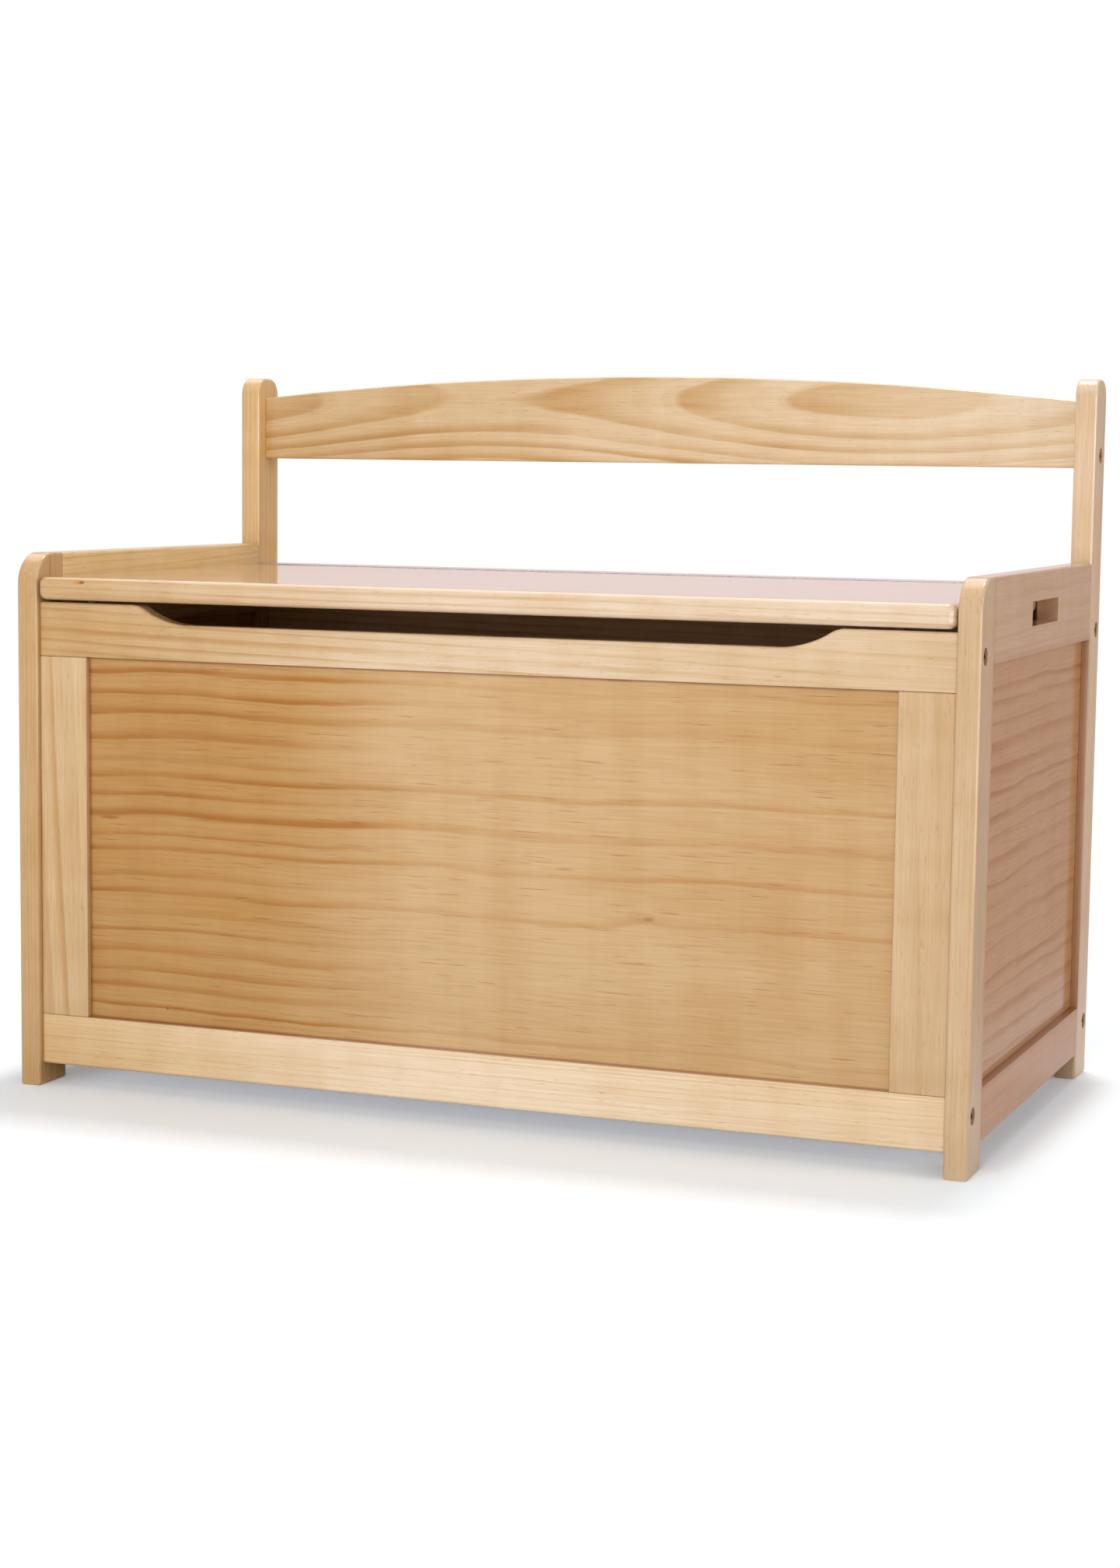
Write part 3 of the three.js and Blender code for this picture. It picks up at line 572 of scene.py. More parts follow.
@dataclass(frozen=True)
class PlatedSteel:
    """Steel hardware, turned or pressed and then plated: a metal sheen with faint clouds."""

    name: str
    colour: str
    worn: str
    roughness: float
    cloud_mm: float = 2.5

    def dress(self) -> bpy.types.Material:
        """Makes the material, which reads Object coordinates.

        Returns:
            The material.
        """
        recipe = Recipe(bpy.data.materials.new(self.name))
        add = recipe.add
        place = add("TexCoord", out="Object")
        clouds = add("TexNoise", {"Vector": place, "Scale": 1 / (self.cloud_mm * MM), "Detail": 3.0})
        share = add("MapRange", {0: clouds, 1: 0.35, 2: 0.7})
        colour = add("Mix", {0: share, 6: linear(self.colour), 7: linear(self.worn)}, 2, data_type="RGBA")
        rough = add("MapRange", {0: clouds, 1: 0.3, 2: 0.7, 3: self.roughness, 4: self.roughness + 0.12})
        relief = add("Bump", {"Strength": 0.2, "Distance": 0.02 * MM, "Height": clouds})
        return recipe.finish(add("BsdfPrincipled", {
            "Base Color": colour, "Metallic": 1.0, "Roughness": rough, "Normal": relief}))


@dataclass(frozen=True)
class SoftRubber:
    """Moulded dark brown rubber: matt, with a faint dusty bloom."""

    colour: str = "#4A3020"
    bloom: str = "#5E4634"
    speck_mm: float = 0.8

    def dress(self) -> bpy.types.Material:
        """Makes the material, which reads Object coordinates.

        Returns:
            The material.
        """
        recipe = Recipe(bpy.data.materials.new("Soft brown rubber"))
        add = recipe.add
        place = add("TexCoord", out="Object")
        dust = add("TexNoise", {"Vector": place, "Scale": 1 / (self.speck_mm * MM), "Detail": 2.0})
        rough = add("MapRange", {0: dust, 1: 0.3, 2: 0.7, 3: 0.6, 4: 0.8})
        tint = add("Mix", {0: dust, 6: linear(self.colour), 7: linear(self.bloom)}, 2, data_type="RGBA")
        return recipe.finish(add("BsdfPrincipled", {"Base Color": tint, "Roughness": rough, "IOR": 1.52}))


# --- Modelling ------------------------------------------------------------------------------------

class Element(Enum):
    """What an edit-mode tool works on, as Blender's name for it and the mesh's list of it."""

    VERTICES = ("VERT", "verts")
    EDGES = ("EDGE", "edges")
    FACES = ("FACE", "faces")


def at(element: object, axis: int, value: float) -> bool:
    """Tells whether all of an edge or a face, or a vertex, lies at a value along an axis.

    Args:
        element: A vertex, an edge or a face of an edit mesh.
        axis: X, Y or Z.
        value: The place along that axis.

    Returns:
        True if it lies there.
    """
    corners = getattr(element, "verts", None) or [element]
    return all(abs(v.co[axis] - value) < CLOSE for v in corners)


class Workpiece:
    """A piece on the bench: a primitive that Blender's own tools shape, as by hand."""

    def __init__(self, name: str, low: Vector, high: Vector) -> None:
        """Adds a block.

        Args:
            name: The piece's name, which no other piece has.
            low: The block's lowest corner in the row frame.
            high: Its highest corner.
        """
        self.low = Vector(low)
        self.high = Vector(high)
        bpy.ops.object.select_all(action="DESELECT")
        bpy.ops.mesh.primitive_cube_add(size=1.0, location=(self.low + self.high) / 2,
                                        scale=self.high - self.low)
        self.claim(name)

    def claim(self, name: str) -> None:
        """Takes the object that a tool has just made, and puts its place into its mesh.

        Args:
            name: The piece's name.
        """
        self.body = bpy.context.object
        self.body.name = name
        self.body.data.name = name
        bpy.ops.object.transform_apply(location=True, rotation=True, scale=True)

    def select(self) -> None:
        """Selects the piece and nothing else."""
        bpy.ops.object.select_all(action="DESELECT")
        bpy.context.view_layer.objects.active = self.body
        self.body.select_set(True)

    def pick(self, kind: Element, test: Callable[[object], bool]) -> None:
        """Goes into edit mode and selects what passes a test, and nothing else.

        Args:
            kind: Vertices, edges or faces.
            test: What each of them has to pass.
        """
        self.select()
        bpy.ops.object.mode_set(mode="EDIT")
        bpy.ops.mesh.select_mode(type=kind.value[0])
        bpy.ops.mesh.select_all(action="DESELECT")
        mesh = bmesh.from_edit_mesh(self.body.data)
        for element in getattr(mesh, kind.value[1]):
            if test(element):
                element.select_set(True)
        bmesh.update_edit_mesh(self.body.data)

    def done(self) -> None:
        """Leaves edit mode."""
        bpy.ops.object.mode_set(mode="OBJECT")

    def bevel(self, test: Callable[[object], bool], width: float, segments: int) -> None:
        """Rounds the edges that pass a test.

        Args:
            test: What each edge has to pass.
            width: How far the round reaches from the edge, which is its radius at a square edge.
            segments: How many facets the round has.
        """
        self.pick(Element.EDGES, test)
        bpy.ops.mesh.bevel(offset=width, segments=segments, profile=0.5, affect="EDGES")
        self.done()

    def saw(self, axis: int, *places: float) -> None:
        """Scores the piece right round at places along an axis, without parting it.

        Args:
            axis: X, Y or Z.
            *places: The places along it.
        """
        for place in places:
            self.pick(Element.FACES, lambda face: True)
            point = [0.0, 0.0, 0.0]
            normal = [0.0, 0.0, 0.0]
            point[axis] = place
            normal[axis] = 1.0
            bpy.ops.mesh.bisect(plane_co=point, plane_no=normal)
            self.done()

    def shift(self, kind: Element, test: Callable[[object], bool], by: Vector) -> None:
        """Moves what passes a test.

        Args:
            kind: Vertices, edges or faces.
            test: What each of them has to pass.
            by: How far they move.
        """
        self.pick(kind, test)
        bpy.ops.transform.translate(value=by)
        self.done()

    def clean(self) -> None:
        """Dissolves the scores that no longer bound anything."""
        self.pick(Element.FACES, lambda face: True)
        bpy.ops.mesh.dissolve_limited(angle_limit=math.radians(0.05))
        self.done()

    def combine(self, tool: "Workpiece", operation: str = "DIFFERENCE") -> None:
        """Cuts the piece with another one, or joins that to it, and clears the other away.

        Args:
            tool: The other piece.
            operation: A Boolean modifier's operation.
        """
        modifier = self.body.modifiers.new("joint", "BOOLEAN")
        modifier.operation = operation
        modifier.object = tool.body
        modifier.solver = "EXACT"
        self.apply(modifier)
        bpy.data.objects.remove(tool.body)

    def apply(self, modifier: bpy.types.Modifier) -> None:
        """Applies a modifier.

        Args:
            modifier: The modifier, on this piece.
        """
        self.select()
        bpy.ops.object.modifier_apply(modifier=modifier.name)

    def mortise(self, low: Vector, high: Vector) -> None:
        """Cuts a square hole or groove between two corners."""
        self.combine(Workpiece("cutter", Vector(low), Vector(high)))

    def bore(self, axis: int, start: Vector, end: Vector, radius: float) -> None:
        """Drills a round hole from one point to another along an axis."""
        self.combine(Rod("drill", axis, start, end, radius))

    def sand(self) -> None:
        """Breaks every edge that is still sharp."""
        modifier = self.body.modifiers.new("sanding", "BEVEL")
        modifier.limit_method = "ANGLE"
        modifier.angle_limit = math.radians(60)
        modifier.width = SANDED
        modifier.segments = 2
        self.apply(modifier)

    def smooth(self) -> None:
        """Shades the rounds smooth and keeps the flats flat."""
        self.select()
        bpy.ops.object.shade_smooth_by_angle(angle=math.radians(40))
        modifier = self.body.modifiers.new("flats", "WEIGHTED_NORMAL")
        modifier.keep_sharp = True
        self.apply(modifier)

    def deliver(self, node: str, slot: str, material: bpy.types.Material) -> bpy.types.Object:
        """Finishes the piece: it takes its node's place and rides with the node's body.

        Args:
            node: The CAD node that it stands for.
            slot: The record's material slot; not used.
            material: The finish.

        Returns:
            The finished object.
        """
        self.smooth()
        self.body.data.materials.clear()
        self.body.data.materials.append(material)
        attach(self.body, frame["nodes"][node]["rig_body"])
        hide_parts(node)
        log.info("%s stands for %s: %d faces", self.body.name, node, len(self.body.data.polygons))
        return self.body


class Rod(Workpiece):
    """A round piece along an axis."""

    TURNS = {X: (0.0, math.pi / 2, 0.0), Y: (math.pi / 2, 0.0, 0.0), Z: (0.0, 0.0, 0.0)}

    def __init__(self, name: str, axis: int, start: Vector, end: Vector, radius: float,
                 sides: int = 40) -> None:
        """Adds a cylinder from one point to another.

        Args:
            name: The piece's name.
            axis: The axis that it lies along.
            start: The middle of one end.
            end: The middle of the other end.
            radius: Its radius.
            sides: How many facets it has.
        """
        start, end = Vector(start), Vector(end)
        bpy.ops.object.select_all(action="DESELECT")
        bpy.ops.mesh.primitive_cylinder_add(vertices=sides, radius=radius, depth=(end - start).length,
                                            location=(start + end) / 2, rotation=self.TURNS[axis])
        self.claim(name)
        self.low, self.high = start, end


class Duplicate(Workpiece):
    """A copy of a piece, with a mesh of its own."""

    def __init__(self, pattern: Workpiece, name: str, place: Vector, turn: float) -> None:
        """Copies a piece that was made around the origin, and sets the copy in its place.

        Args:
            pattern: The piece to copy.
            name: The copy's name.
            place: Where the pattern's origin goes.
            turn: How far it turns about Z.
        """
        pattern.select()
        bpy.ops.object.duplicate()
        bpy.context.object.location = place
        bpy.context.object.rotation_euler = (0.0, 0.0, turn)
        self.claim(name)


# --- Sub-assemblies -------------------------------------------------------------------------------

PINE = LacqueredPine()
PLYWOOD = LacqueredPlywood()


class Side(Enum):
    """A side of the toy box, as the sign of X there."""

    LEFT = -1
    RIGHT = 1


def pine(node: str, cut: Cut, *shade_pools: ShadePool) -> bpy.types.Material:
    """Dresses a board in pine, with the pattern centred on its CAD node.

    Args:
        node: The CAD node.
        cut: How the board was cut.
        *pools: Where shade is painted on it, partly lacquer that gathered there.

    Returns:
        The board's material.
    """
    return PINE.dress(node.replace("_", " "), *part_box(node), cut, shade_pools)


def plywood(node: str, cut: Cut, *shade_pools: ShadePool) -> bpy.types.Material:
    """Dresses a panel in plywood, with the pattern centred on its CAD node.

    Args:
        node: The CAD node.
        cut: How its face veneer was cut.
        *pools: Where shade is painted on it, partly lacquer that gathered there.

    Returns:
        The panel's material.
    """
    return PLYWOOD.dress(node.replace("_", " "), *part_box(node), cut, shade_pools)


def corners(low: dict[int, float], high: dict[int, float], width_mm: float, depth: float) -> ShadePool:
    """Paints shade inside an opening, partly lacquer that gathered there.

    Args:
        low: The opening's lower sides, by axis.
        high: Its upper sides, by axis.
        width_mm: How far the shade reaches.
        depth: How much of the darker colour it has.

    Returns:
        The painted shade.
    """
    return ShadePool(Vector([low.get(axis, -FAR) for axis in (X, Y, Z)]),
                Vector([high.get(axis, FAR) for axis in (X, Y, Z)]), width_mm, depth)


def reveal(panel: str, width_mm: float, depth: float) -> ShadePool:
    """Paints shade on the edges of a frame that stand out from its panel, partly lacquer that gathered
    there.

    Args:
        panel: The panel's CAD node.
        width_mm: How far the shade reaches.
        depth: How much of the darker colour it has.

    Returns:
        The painted shade.
    """
    low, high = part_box(panel)
    inset = Vector([0.0 if side < 2 * PANEL_THICKNESS else TONGUE for side in high - low])
    return ShadePool(low + inset, high - inset, width_mm, depth, inside=False)


def opening(panel: str, width_mm: float, depth: float) -> ShadePool:
    """Paints shade on a panel, along the frame around it, partly lacquer that gathered there.

    Args:
        panel: The panel's CAD node.
        width_mm: How far the shade reaches.
        depth: How much of the darker colour it has.

    Returns:
        The painted shade.
    """
    low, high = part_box(panel)
    sides = [axis for axis in (X, Y, Z) if (high - low)[axis] > 2 * PANEL_THICKNESS]
    return corners({axis: low[axis] + TONGUE for axis in sides},
                   {axis: high[axis] - TONGUE for axis in sides}, width_mm, depth)


def bolt_holes(post: Workpiece, side: Side, names: tuple[str, ...]) -> None:
    """Drills a post for its bolts, with a pocket for each head.

    Args:
        post: The post.
        side: The side of the toy box.
        names: The joints that the bolts hold.
    """
    outer = post.high.x if side is Side.RIGHT else post.low.x
    inner = post.low.x if side is Side.RIGHT else post.high.x
    for name in names:
        low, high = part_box(f"{side.name.lower()}_{name}_bolt")
        middle = (low + high) / 2
        head_inner = (high.x if side is Side.RIGHT else low.x) - side.value * HEAD_THICKNESS
        beyond = outer + side.value * MM
        through = inner - side.value * MM
        post.bore(X, (through, middle.y, middle.z), (beyond, middle.y, middle.z), SHANK_RADIUS + BOLT_PLAY)
        pocket = head_inner - side.value * GLUE_LINE
        post.bore(X, (pocket, middle.y, middle.z), (beyond, middle.y, middle.z), HEAD_RADIUS + HEAD_PLAY)


def nut_holes(rail: Workpiece, joint: str, opens: int) -> None:
    """Drills both ends of a rail for a bolt and its cross-dowel nut.

    Args:
        rail: The rail.
        joint: The joint that the bolts hold.
        opens: The way that the nut's hole opens along Y.
    """
    for side in Side:
        bolt_low, bolt_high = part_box(f"{side.name.lower()}_{joint}_bolt")
        nut_low, nut_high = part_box(f"{side.name.lower()}_{joint}_nut")
        axis = (bolt_low + bolt_high) / 2
        nut = (nut_low + nut_high) / 2
        tip = min(abs(bolt_low.x), abs(bolt_high.x)) - BOLT_END_ROOM
        end = max(abs(rail.low.x), abs(rail.high.x)) + MM
        rail.bore(X, (side.value * tip, axis.y, axis.z), (side.value * end, axis.y, axis.z),
                  SHANK_RADIUS + BOLT_PLAY)
        floor = (nut_low.y if opens > 0 else nut_high.y) - opens * BOLT_PLAY
        mouth = (rail.high.y if opens > 0 else rail.low.y) + opens * MM
        rail.bore(Y, (nut.x, floor, nut.z), (nut.x, mouth, nut.z), (nut_high.x - nut_low.x) / 2 + BOLT_PLAY)


@dataclass
class SideFrame:
    """Two posts, an arm rail with a hand slot, a bottom rail and a plywood panel."""

    side: Side
    cuts: dict[str, Cut]
    veneer: Cut
    pieces: list[bpy.types.Object] = field(default_factory=list)

    @property
    def name(self) -> str:
        """The side's name, as the CAD nodes have it."""
        return self.side.name.lower()

    def build(self) -> None:
        """Builds and dresses the whole frame."""
        self.front_post()
        self.back_post()
        self.arm_rail()
        self.bottom_rail()
        self.panel()

    def shade(self) -> ShadePool:
        """The painted shade on the frame's edges around the panel, partly lacquer that gathered there."""
        return reveal(f"{self.name}_panel", *AT_SIDE_PANEL)

    def groove(self, post: Workpiece, mouth: float, into: int) -> None:
        """Cuts the groove in a post's edge for the panel and the rails' stub tenons.

        Args:
            post: The post.
            mouth: The place of the edge along Y.
            into: The way into the post along Y.
        """
        middle = (post.low.x + post.high.x) / 2
        half = PANEL_THICKNESS / 2 + GROOVE_PLAY
        rail_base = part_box(f"{self.name}_bottom_rail")[0].z
        rail_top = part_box(f"{self.name}_arm_rail")[1].z
        low_z = rail_base + TENON_INSET - GLUE_LINE
        high_z = rail_top - TENON_INSET + GLUE_LINE
        ends = sorted((mouth - into * MM, mouth + into * GROOVE_DEPTH))
        post.mortise((middle - half, ends[0], low_z), (middle + half, ends[1], high_z))

    def front_post(self) -> None:
        """The front post: one big round at its top, and square where the rails meet it."""
        node = f"{self.name}_front_post"
        post = Workpiece(node + "_board", *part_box(node))
        low, high = post.low, post.high
        post.bevel(lambda e: at(e, Y, low.y) and at(e, Z, high.z), FRONT_POST_ROUND, 18)
        post.bevel(lambda e: (at(e, X, low.x) or at(e, X, high.x)) and not at(e, Y, high.y), ARRIS, FACETS)
        post.sand()
        self.groove(post, high.y, -1)
        bolt_holes(post, self.side, ("front_top", "front_bottom"))
        self.pieces.append(post.deliver(node, "pine", pine(node, self.cuts["front_post"], self.shade())))

    def back_post(self) -> None:
        """The back post: both top corners rounded, and square where the rails meet it."""
        node = f"{self.name}_back_post"
        post = Workpiece(node + "_board", *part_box(node))
        low, high = post.low, post.high
        square = (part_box(f"{self.name}_bottom_rail")[0].z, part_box(f"{self.name}_arm_rail")[1].z - ARRIS)
        post.bevel(lambda e: at(e, Z, high.z) and (at(e, Y, low.y) or at(e, Y, high.y)),
                   BACK_POST_ROUND, 12)
        post.saw(Z, *square)

        def free(edge: bmesh.types.BMEdge) -> bool:
            """Tells whether an edge is an outer arris clear of the rails.

            Args:
                edge: An edge of the post.

            Returns:
                True if it is.
            """
            outer = at(edge, X, low.x) or at(edge, X, high.x)
            ends = sorted(v.co.z for v in edge.verts)
            seated = at(edge, Y, low.y) and ends[0] > square[0] - CLOSE and ends[1] < square[1] + CLOSE
            across = at(edge, Z, square[0]) or at(edge, Z, square[1])
            return outer and not seated and not across

        post.bevel(free, ARRIS, FACETS)
        post.sand()
        self.groove(post, low.y, 1)
        dowel_low, dowel_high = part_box(f"{self.name}_backrest_dowel")
        dowel = (dowel_low + dowel_high) / 2
        inner = low.x if self.side is Side.RIGHT else high.x
        floor = dowel_high.x if self.side is Side.RIGHT else dowel_low.x
        post.bore(X, (inner - self.side.value * MM, dowel.y, dowel.z),
                  (floor + self.side.value * DOWEL_PLAY, dowel.y, dowel.z),
                  (dowel_high.y - dowel_low.y) / 2 + DOWEL_PLAY)
        bolt_holes(post, self.side, ("back_top", "back_bottom", "backrest"))
        self.pieces.append(post.deliver(node, "pine", pine(node, self.cuts["back_post"], self.shade())))

    def rail(self, node: str, free: int) -> Workpiece:
        """A side rail with stub tenons, an eased free edge and a groove in the other.

        Args:
            node: The rail's CAD node, whose box takes in the tenons.
            free: 1 where the upper edge is free and -1 where the lower one is.

        Returns:
            The rail, without its panel groove.
        """
        low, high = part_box(node)
        front = low.y + TONGUE
        back = high.y - TONGUE
        rail = Workpiece(node + "_board", (low.x, front, low.z), (high.x, back, high.z))
        edge = high.z if free > 0 else low.z
        rail.bevel(lambda e: at(e, Z, edge) and (at(e, X, low.x) or at(e, X, high.x)), ARRIS, FACETS)
        rail.sand()
        middle = (low.x + high.x) / 2
        tenon_low = low.z if free > 0 else low.z + TENON_INSET
        tenon_high = high.z - TENON_INSET if free > 0 else high.z
        half = PANEL_THICKNESS / 2
        tenons = Workpiece("tenons", (middle - half, low.y, tenon_low), (middle + half, high.y, tenon_high))
        rail.combine(tenons, "UNION")
        half += GROOVE_PLAY
        depth = (low.z - MM, low.z + GROOVE_DEPTH) if free > 0 else (high.z - GROOVE_DEPTH, high.z + MM)
        rail.mortise((middle - half, low.y - MM, depth[0]), (middle + half, high.y + MM, depth[1]))
        return rail

    def arm_rail(self) -> None:
        """The arm rail, with its hand slot."""
        node = f"{self.name}_arm_rail"
        rail = self.rail(node, 1)
        low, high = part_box(node)
        middle = (low.y + high.y) / 2
        slot_z = high.z - SLOT_DROP
        ends = (middle - SLOT_LENGTH / 2, middle + SLOT_LENGTH / 2)
        heights = (slot_z - SLOT_HEIGHT / 2, slot_z + SLOT_HEIGHT / 2)
        rail.mortise((low.x - MM, ends[0], heights[0]), (high.x + MM, ends[1], heights[1]))

        def rim(edge: bmesh.types.BMEdge) -> bool:
            """Tells whether an edge is on the slot's rim.

            Args:
                edge: An edge of the rail.

            Returns:
                True if it is.
            """
            on_face = at(edge, X, low.x) or at(edge, X, high.x)
            along = at(edge, Z, heights[0]) or at(edge, Z, heights[1])
            across = at(edge, Y, ends[0]) or at(edge, Y, ends[1])
            return on_face and (along or across)

        rail.bevel(rim, SLOT_RIM, 3)
        shade_pool = corners({Y: low.y + TONGUE}, {Y: high.y - TONGUE}, *AT_SIDE_POST)
        self.pieces.append(rail.deliver(node, "pine",
                                        pine(node, self.cuts["arm_rail"], shade_pool, self.shade())))

    def bottom_rail(self) -> None:
        """The bottom rail."""
        node = f"{self.name}_bottom_rail"
        rail = self.rail(node, -1)
        low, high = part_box(node)
        shade_pool = corners({Y: low.y + TONGUE}, {Y: high.y - TONGUE}, *AT_SIDE_POST)
        self.pieces.append(rail.deliver(node, "pine",
                                        pine(node, self.cuts["bottom_rail"], shade_pool, self.shade())))

    def panel(self) -> None:
        """The plywood panel, whose edges lie in the grooves."""
        node = f"{self.name}_panel"
        panel = Workpiece(node + "_sheet", *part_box(node))
        panel.sand()
        self.pieces.append(panel.deliver(node, "plywood",
                                         plywood(node, self.veneer, opening(node, *ON_PANEL))))


@dataclass
class PanelFrame:
    """The front or the back of the box: two rails, two stiles and a plywood panel."""

    name: str
    opens: int                 # the way into the box along Y
    cuts: dict[str, Cut]
    veneer: Cut
    scooped: bool = False
    pieces: list[bpy.types.Object] = field(default_factory=list)

    def build(self) -> None:
        """Builds and dresses the whole frame."""
        self.rail("top_rail", 1)
        self.rail("bottom_rail", -1)
        for side in Side:
            self.stile(side)
        self.panel()

    def shade(self) -> ShadePool:
        """The painted shade on the frame's edges around the panel, partly lacquer that gathered there."""
        return reveal(f"{self.name}_panel", *AT_PANEL)

    def groove_faces(self) -> tuple[float, float]:
        """Gives the places of the grooves' two faces along Y."""
        low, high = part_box(f"{self.name}_panel")
        return low.y - GROOVE_PLAY, high.y + GROOVE_PLAY

    def rail(self, part: str, free: int) -> None:
        """A rail with an eased free edge and a groove in the other.

        Args:
            part: The end of its name.
            free: 1 where the upper edge is free and -1 where the lower one is.
        """
        node = f"{self.name}_{part}"
        rail = Workpiece(node + "_board", *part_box(node))
        low, high = rail.low, rail.high
        if self.scooped and free > 0:
            self.scoop(rail)

        def arris(edge: bmesh.types.BMEdge) -> bool:
            """Tells whether an edge runs along the free edge of the rail.

            Args:
                edge: An edge of the rail.

            Returns:
                True if it does.
            """
            on_face = at(edge, Y, low.y) or at(edge, Y, high.y)
            return on_face and any(face.normal.z * free > 0.5 for face in edge.link_faces)

        rail.bevel(arris, ARRIS, FACETS)
        rail.sand()
        faces = self.groove_faces()
        depth = (low.z - MM, low.z + GROOVE_DEPTH) if free > 0 else (high.z - GROOVE_DEPTH, high.z + MM)
        rail.mortise((low.x - MM, faces[0], depth[0]), (high.x + MM, faces[1], depth[1]))
        joint = f"{self.name}_{part.removesuffix('_rail')}"
        nut_holes(rail, joint, self.opens)
        ends = corners({X: low.x}, {X: high.x}, *AT_POST)
        self.pieces.append(rail.deliver(node, "pine", pine(node, self.cuts[part], ends, self.shade())))

    def scoop(self, rail: Workpiece) -> None:
        """Lowers the middle of a rail's upper edge into a finger scoop with soft corners.

        Args:
            rail: The rail.
        """
        top = rail.high.z
        upper = SCOOP_WIDTH / 2
        lower = upper - SCOOP_RUN
        rail.saw(X, -upper, -lower, lower, upper)
        rail.shift(Element.VERTICES, lambda v: at(v, Z, top) and abs(v.co.x) < lower + CLOSE,
                   Vector((0, 0, -SCOOP_DEPTH)))
        rail.clean()
        slope = math.tan(math.atan2(SCOOP_DEPTH, SCOOP_RUN) / 2)
        rail.bevel(lambda e: at(e, Z, top) and (at(e, X, upper) or at(e, X, -upper)),
                   SCOOP_LIP_ROUND * slope, 8)
        rail.bevel(lambda e: at(e, Z, top - SCOOP_DEPTH) and (at(e, X, lower) or at(e, X, -lower)),
                   SCOOP_FLOOR_ROUND * slope, 12)

    def stile(self, side: Side) -> None:
        """An upright with stub tenons and a groove for the panel.

        Args:
            side: The side of the frame that it stands on.
        """
        node = f"{self.name}_{side.name.lower()}_stile"
        low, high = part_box(node)
        faces = self.groove_faces()
        shoulders = (low.z + TONGUE + GLUE_LINE, high.z - TONGUE - GLUE_LINE)
        stile = Workpiece(node + "_board", (low.x, low.y, shoulders[0]), (high.x, high.y, shoulders[1]))
        stile.sand()
        tenons = Workpiece("tenons", (low.x, faces[0] + GROOVE_PLAY, low.z),
                           (high.x, faces[1] - GROOVE_PLAY, high.z))
        stile.combine(tenons, "UNION")
        inner = low.x if side is Side.RIGHT else high.x
        ends = sorted((inner - side.value * MM, inner + side.value * GROOVE_DEPTH))
        stile.mortise((ends[0], faces[0], low.z - MM), (ends[1], faces[1], high.z + MM))
        edge = {X: low.x} if side is Side.LEFT else {}, {X: high.x} if side is Side.RIGHT else {}
        post_joint = corners(*edge, *AT_POST)
        rail_joints = corners({Z: shoulders[0]}, {Z: shoulders[1]}, *AT_RAIL)
        cut = self.cuts[f"{side.name.lower()}_stile"]
        self.pieces.append(stile.deliver(node, "pine",
                                         pine(node, cut, post_joint, rail_joints, self.shade())))

    def panel(self) -> None:
        """The plywood panel, whose edges lie in the grooves."""
        node = f"{self.name}_panel"
        panel = Workpiece(node + "_sheet", *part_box(node))
        panel.sand()
        self.pieces.append(panel.deliver(node, "plywood",
                                         plywood(node, self.veneer, opening(node, *ON_PANEL))))


@dataclass
class Backrest:
    """The arched rail and the dowels that keep it from turning on its bolts."""

    cut: Cut
    dowel_cut: Cut
    pieces: list[bpy.types.Object] = field(default_factory=list)

    def build(self) -> None:
        """Builds and dresses the rail and its dowels."""
        self.rail()
        for side in Side:
            self.dowel(side)

    def rail(self) -> None:
        """The rail, arched on a circle through its ends and its middle."""
        node = "backrest_rail"
        low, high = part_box(node)
        end_top = high.z - BACKREST_RISE
        rail = Workpiece(node + "_board", low, (high.x, high.y, end_top))
        rail.pick(Element.EDGES, lambda e: abs(e.verts[0].co.x - e.verts[1].co.x) > CLOSE)
        bpy.ops.mesh.subdivide(number_cuts=39)
        rail.done()
        half = high.x
        radius = (half ** 2 + BACKREST_RISE ** 2) / (2 * BACKREST_RISE)
        places = sorted({round(v.co.x, 6) for v in rail.body.data.vertices})
        for place in places[1:-1]:
            lift = math.sqrt(radius ** 2 - place ** 2) - (radius - BACKREST_RISE)
            rail.shift(Element.VERTICES, lambda v: at(v, X, place) and at(v, Z, end_top),
                       Vector((0, 0, lift)))
        rail.clean()

        def arris(edge: bmesh.types.BMEdge) -> bool:
            """Tells whether an edge runs along the rail's top or bottom.

            Args:
                edge: An edge of the rail.

            Returns:
                True if it does.
            """
            on_face = at(edge, Y, low.y) or at(edge, Y, high.y)
            return on_face and any(abs(face.normal.z) > 0.5 for face in edge.link_faces)

        rail.bevel(arris, ARRIS, FACETS)
        rail.sand()
        for side in Side:
            dowel_low, dowel_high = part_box(f"{side.name.lower()}_backrest_dowel")
            dowel = (dowel_low + dowel_high) / 2
            tip = min(abs(dowel_low.x), abs(dowel_high.x)) - DOWEL_PLAY
            rail.bore(X, (side.value * tip, dowel.y, dowel.z), (side.value * (half + MM), dowel.y, dowel.z),
                      (dowel_high.y - dowel_low.y) / 2 + DOWEL_PLAY)
        nut_holes(rail, "backrest", 1)
        self.pieces.append(rail.deliver(node, "pine", pine(node, self.cut)))

    def dowel(self, side: Side) -> None:
        """A dowel with chamfered ends.

        Args:
            side: The side of the toy box.
        """
        node = f"{side.name.lower()}_backrest_dowel"
        low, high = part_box(node)
        middle = (low + high) / 2
        dowel = Rod(node + "_peg", X, (low.x, middle.y, middle.z), (high.x, middle.y, middle.z),
                    (high.y - low.y) / 2, 32)
        dowel.bevel(lambda e: at(e, X, low.x) or at(e, X, high.x), 1.0 * MM, 2)
        self.pieces.append(dowel.deliver(node, "pine", pine(node, self.dowel_cut)))


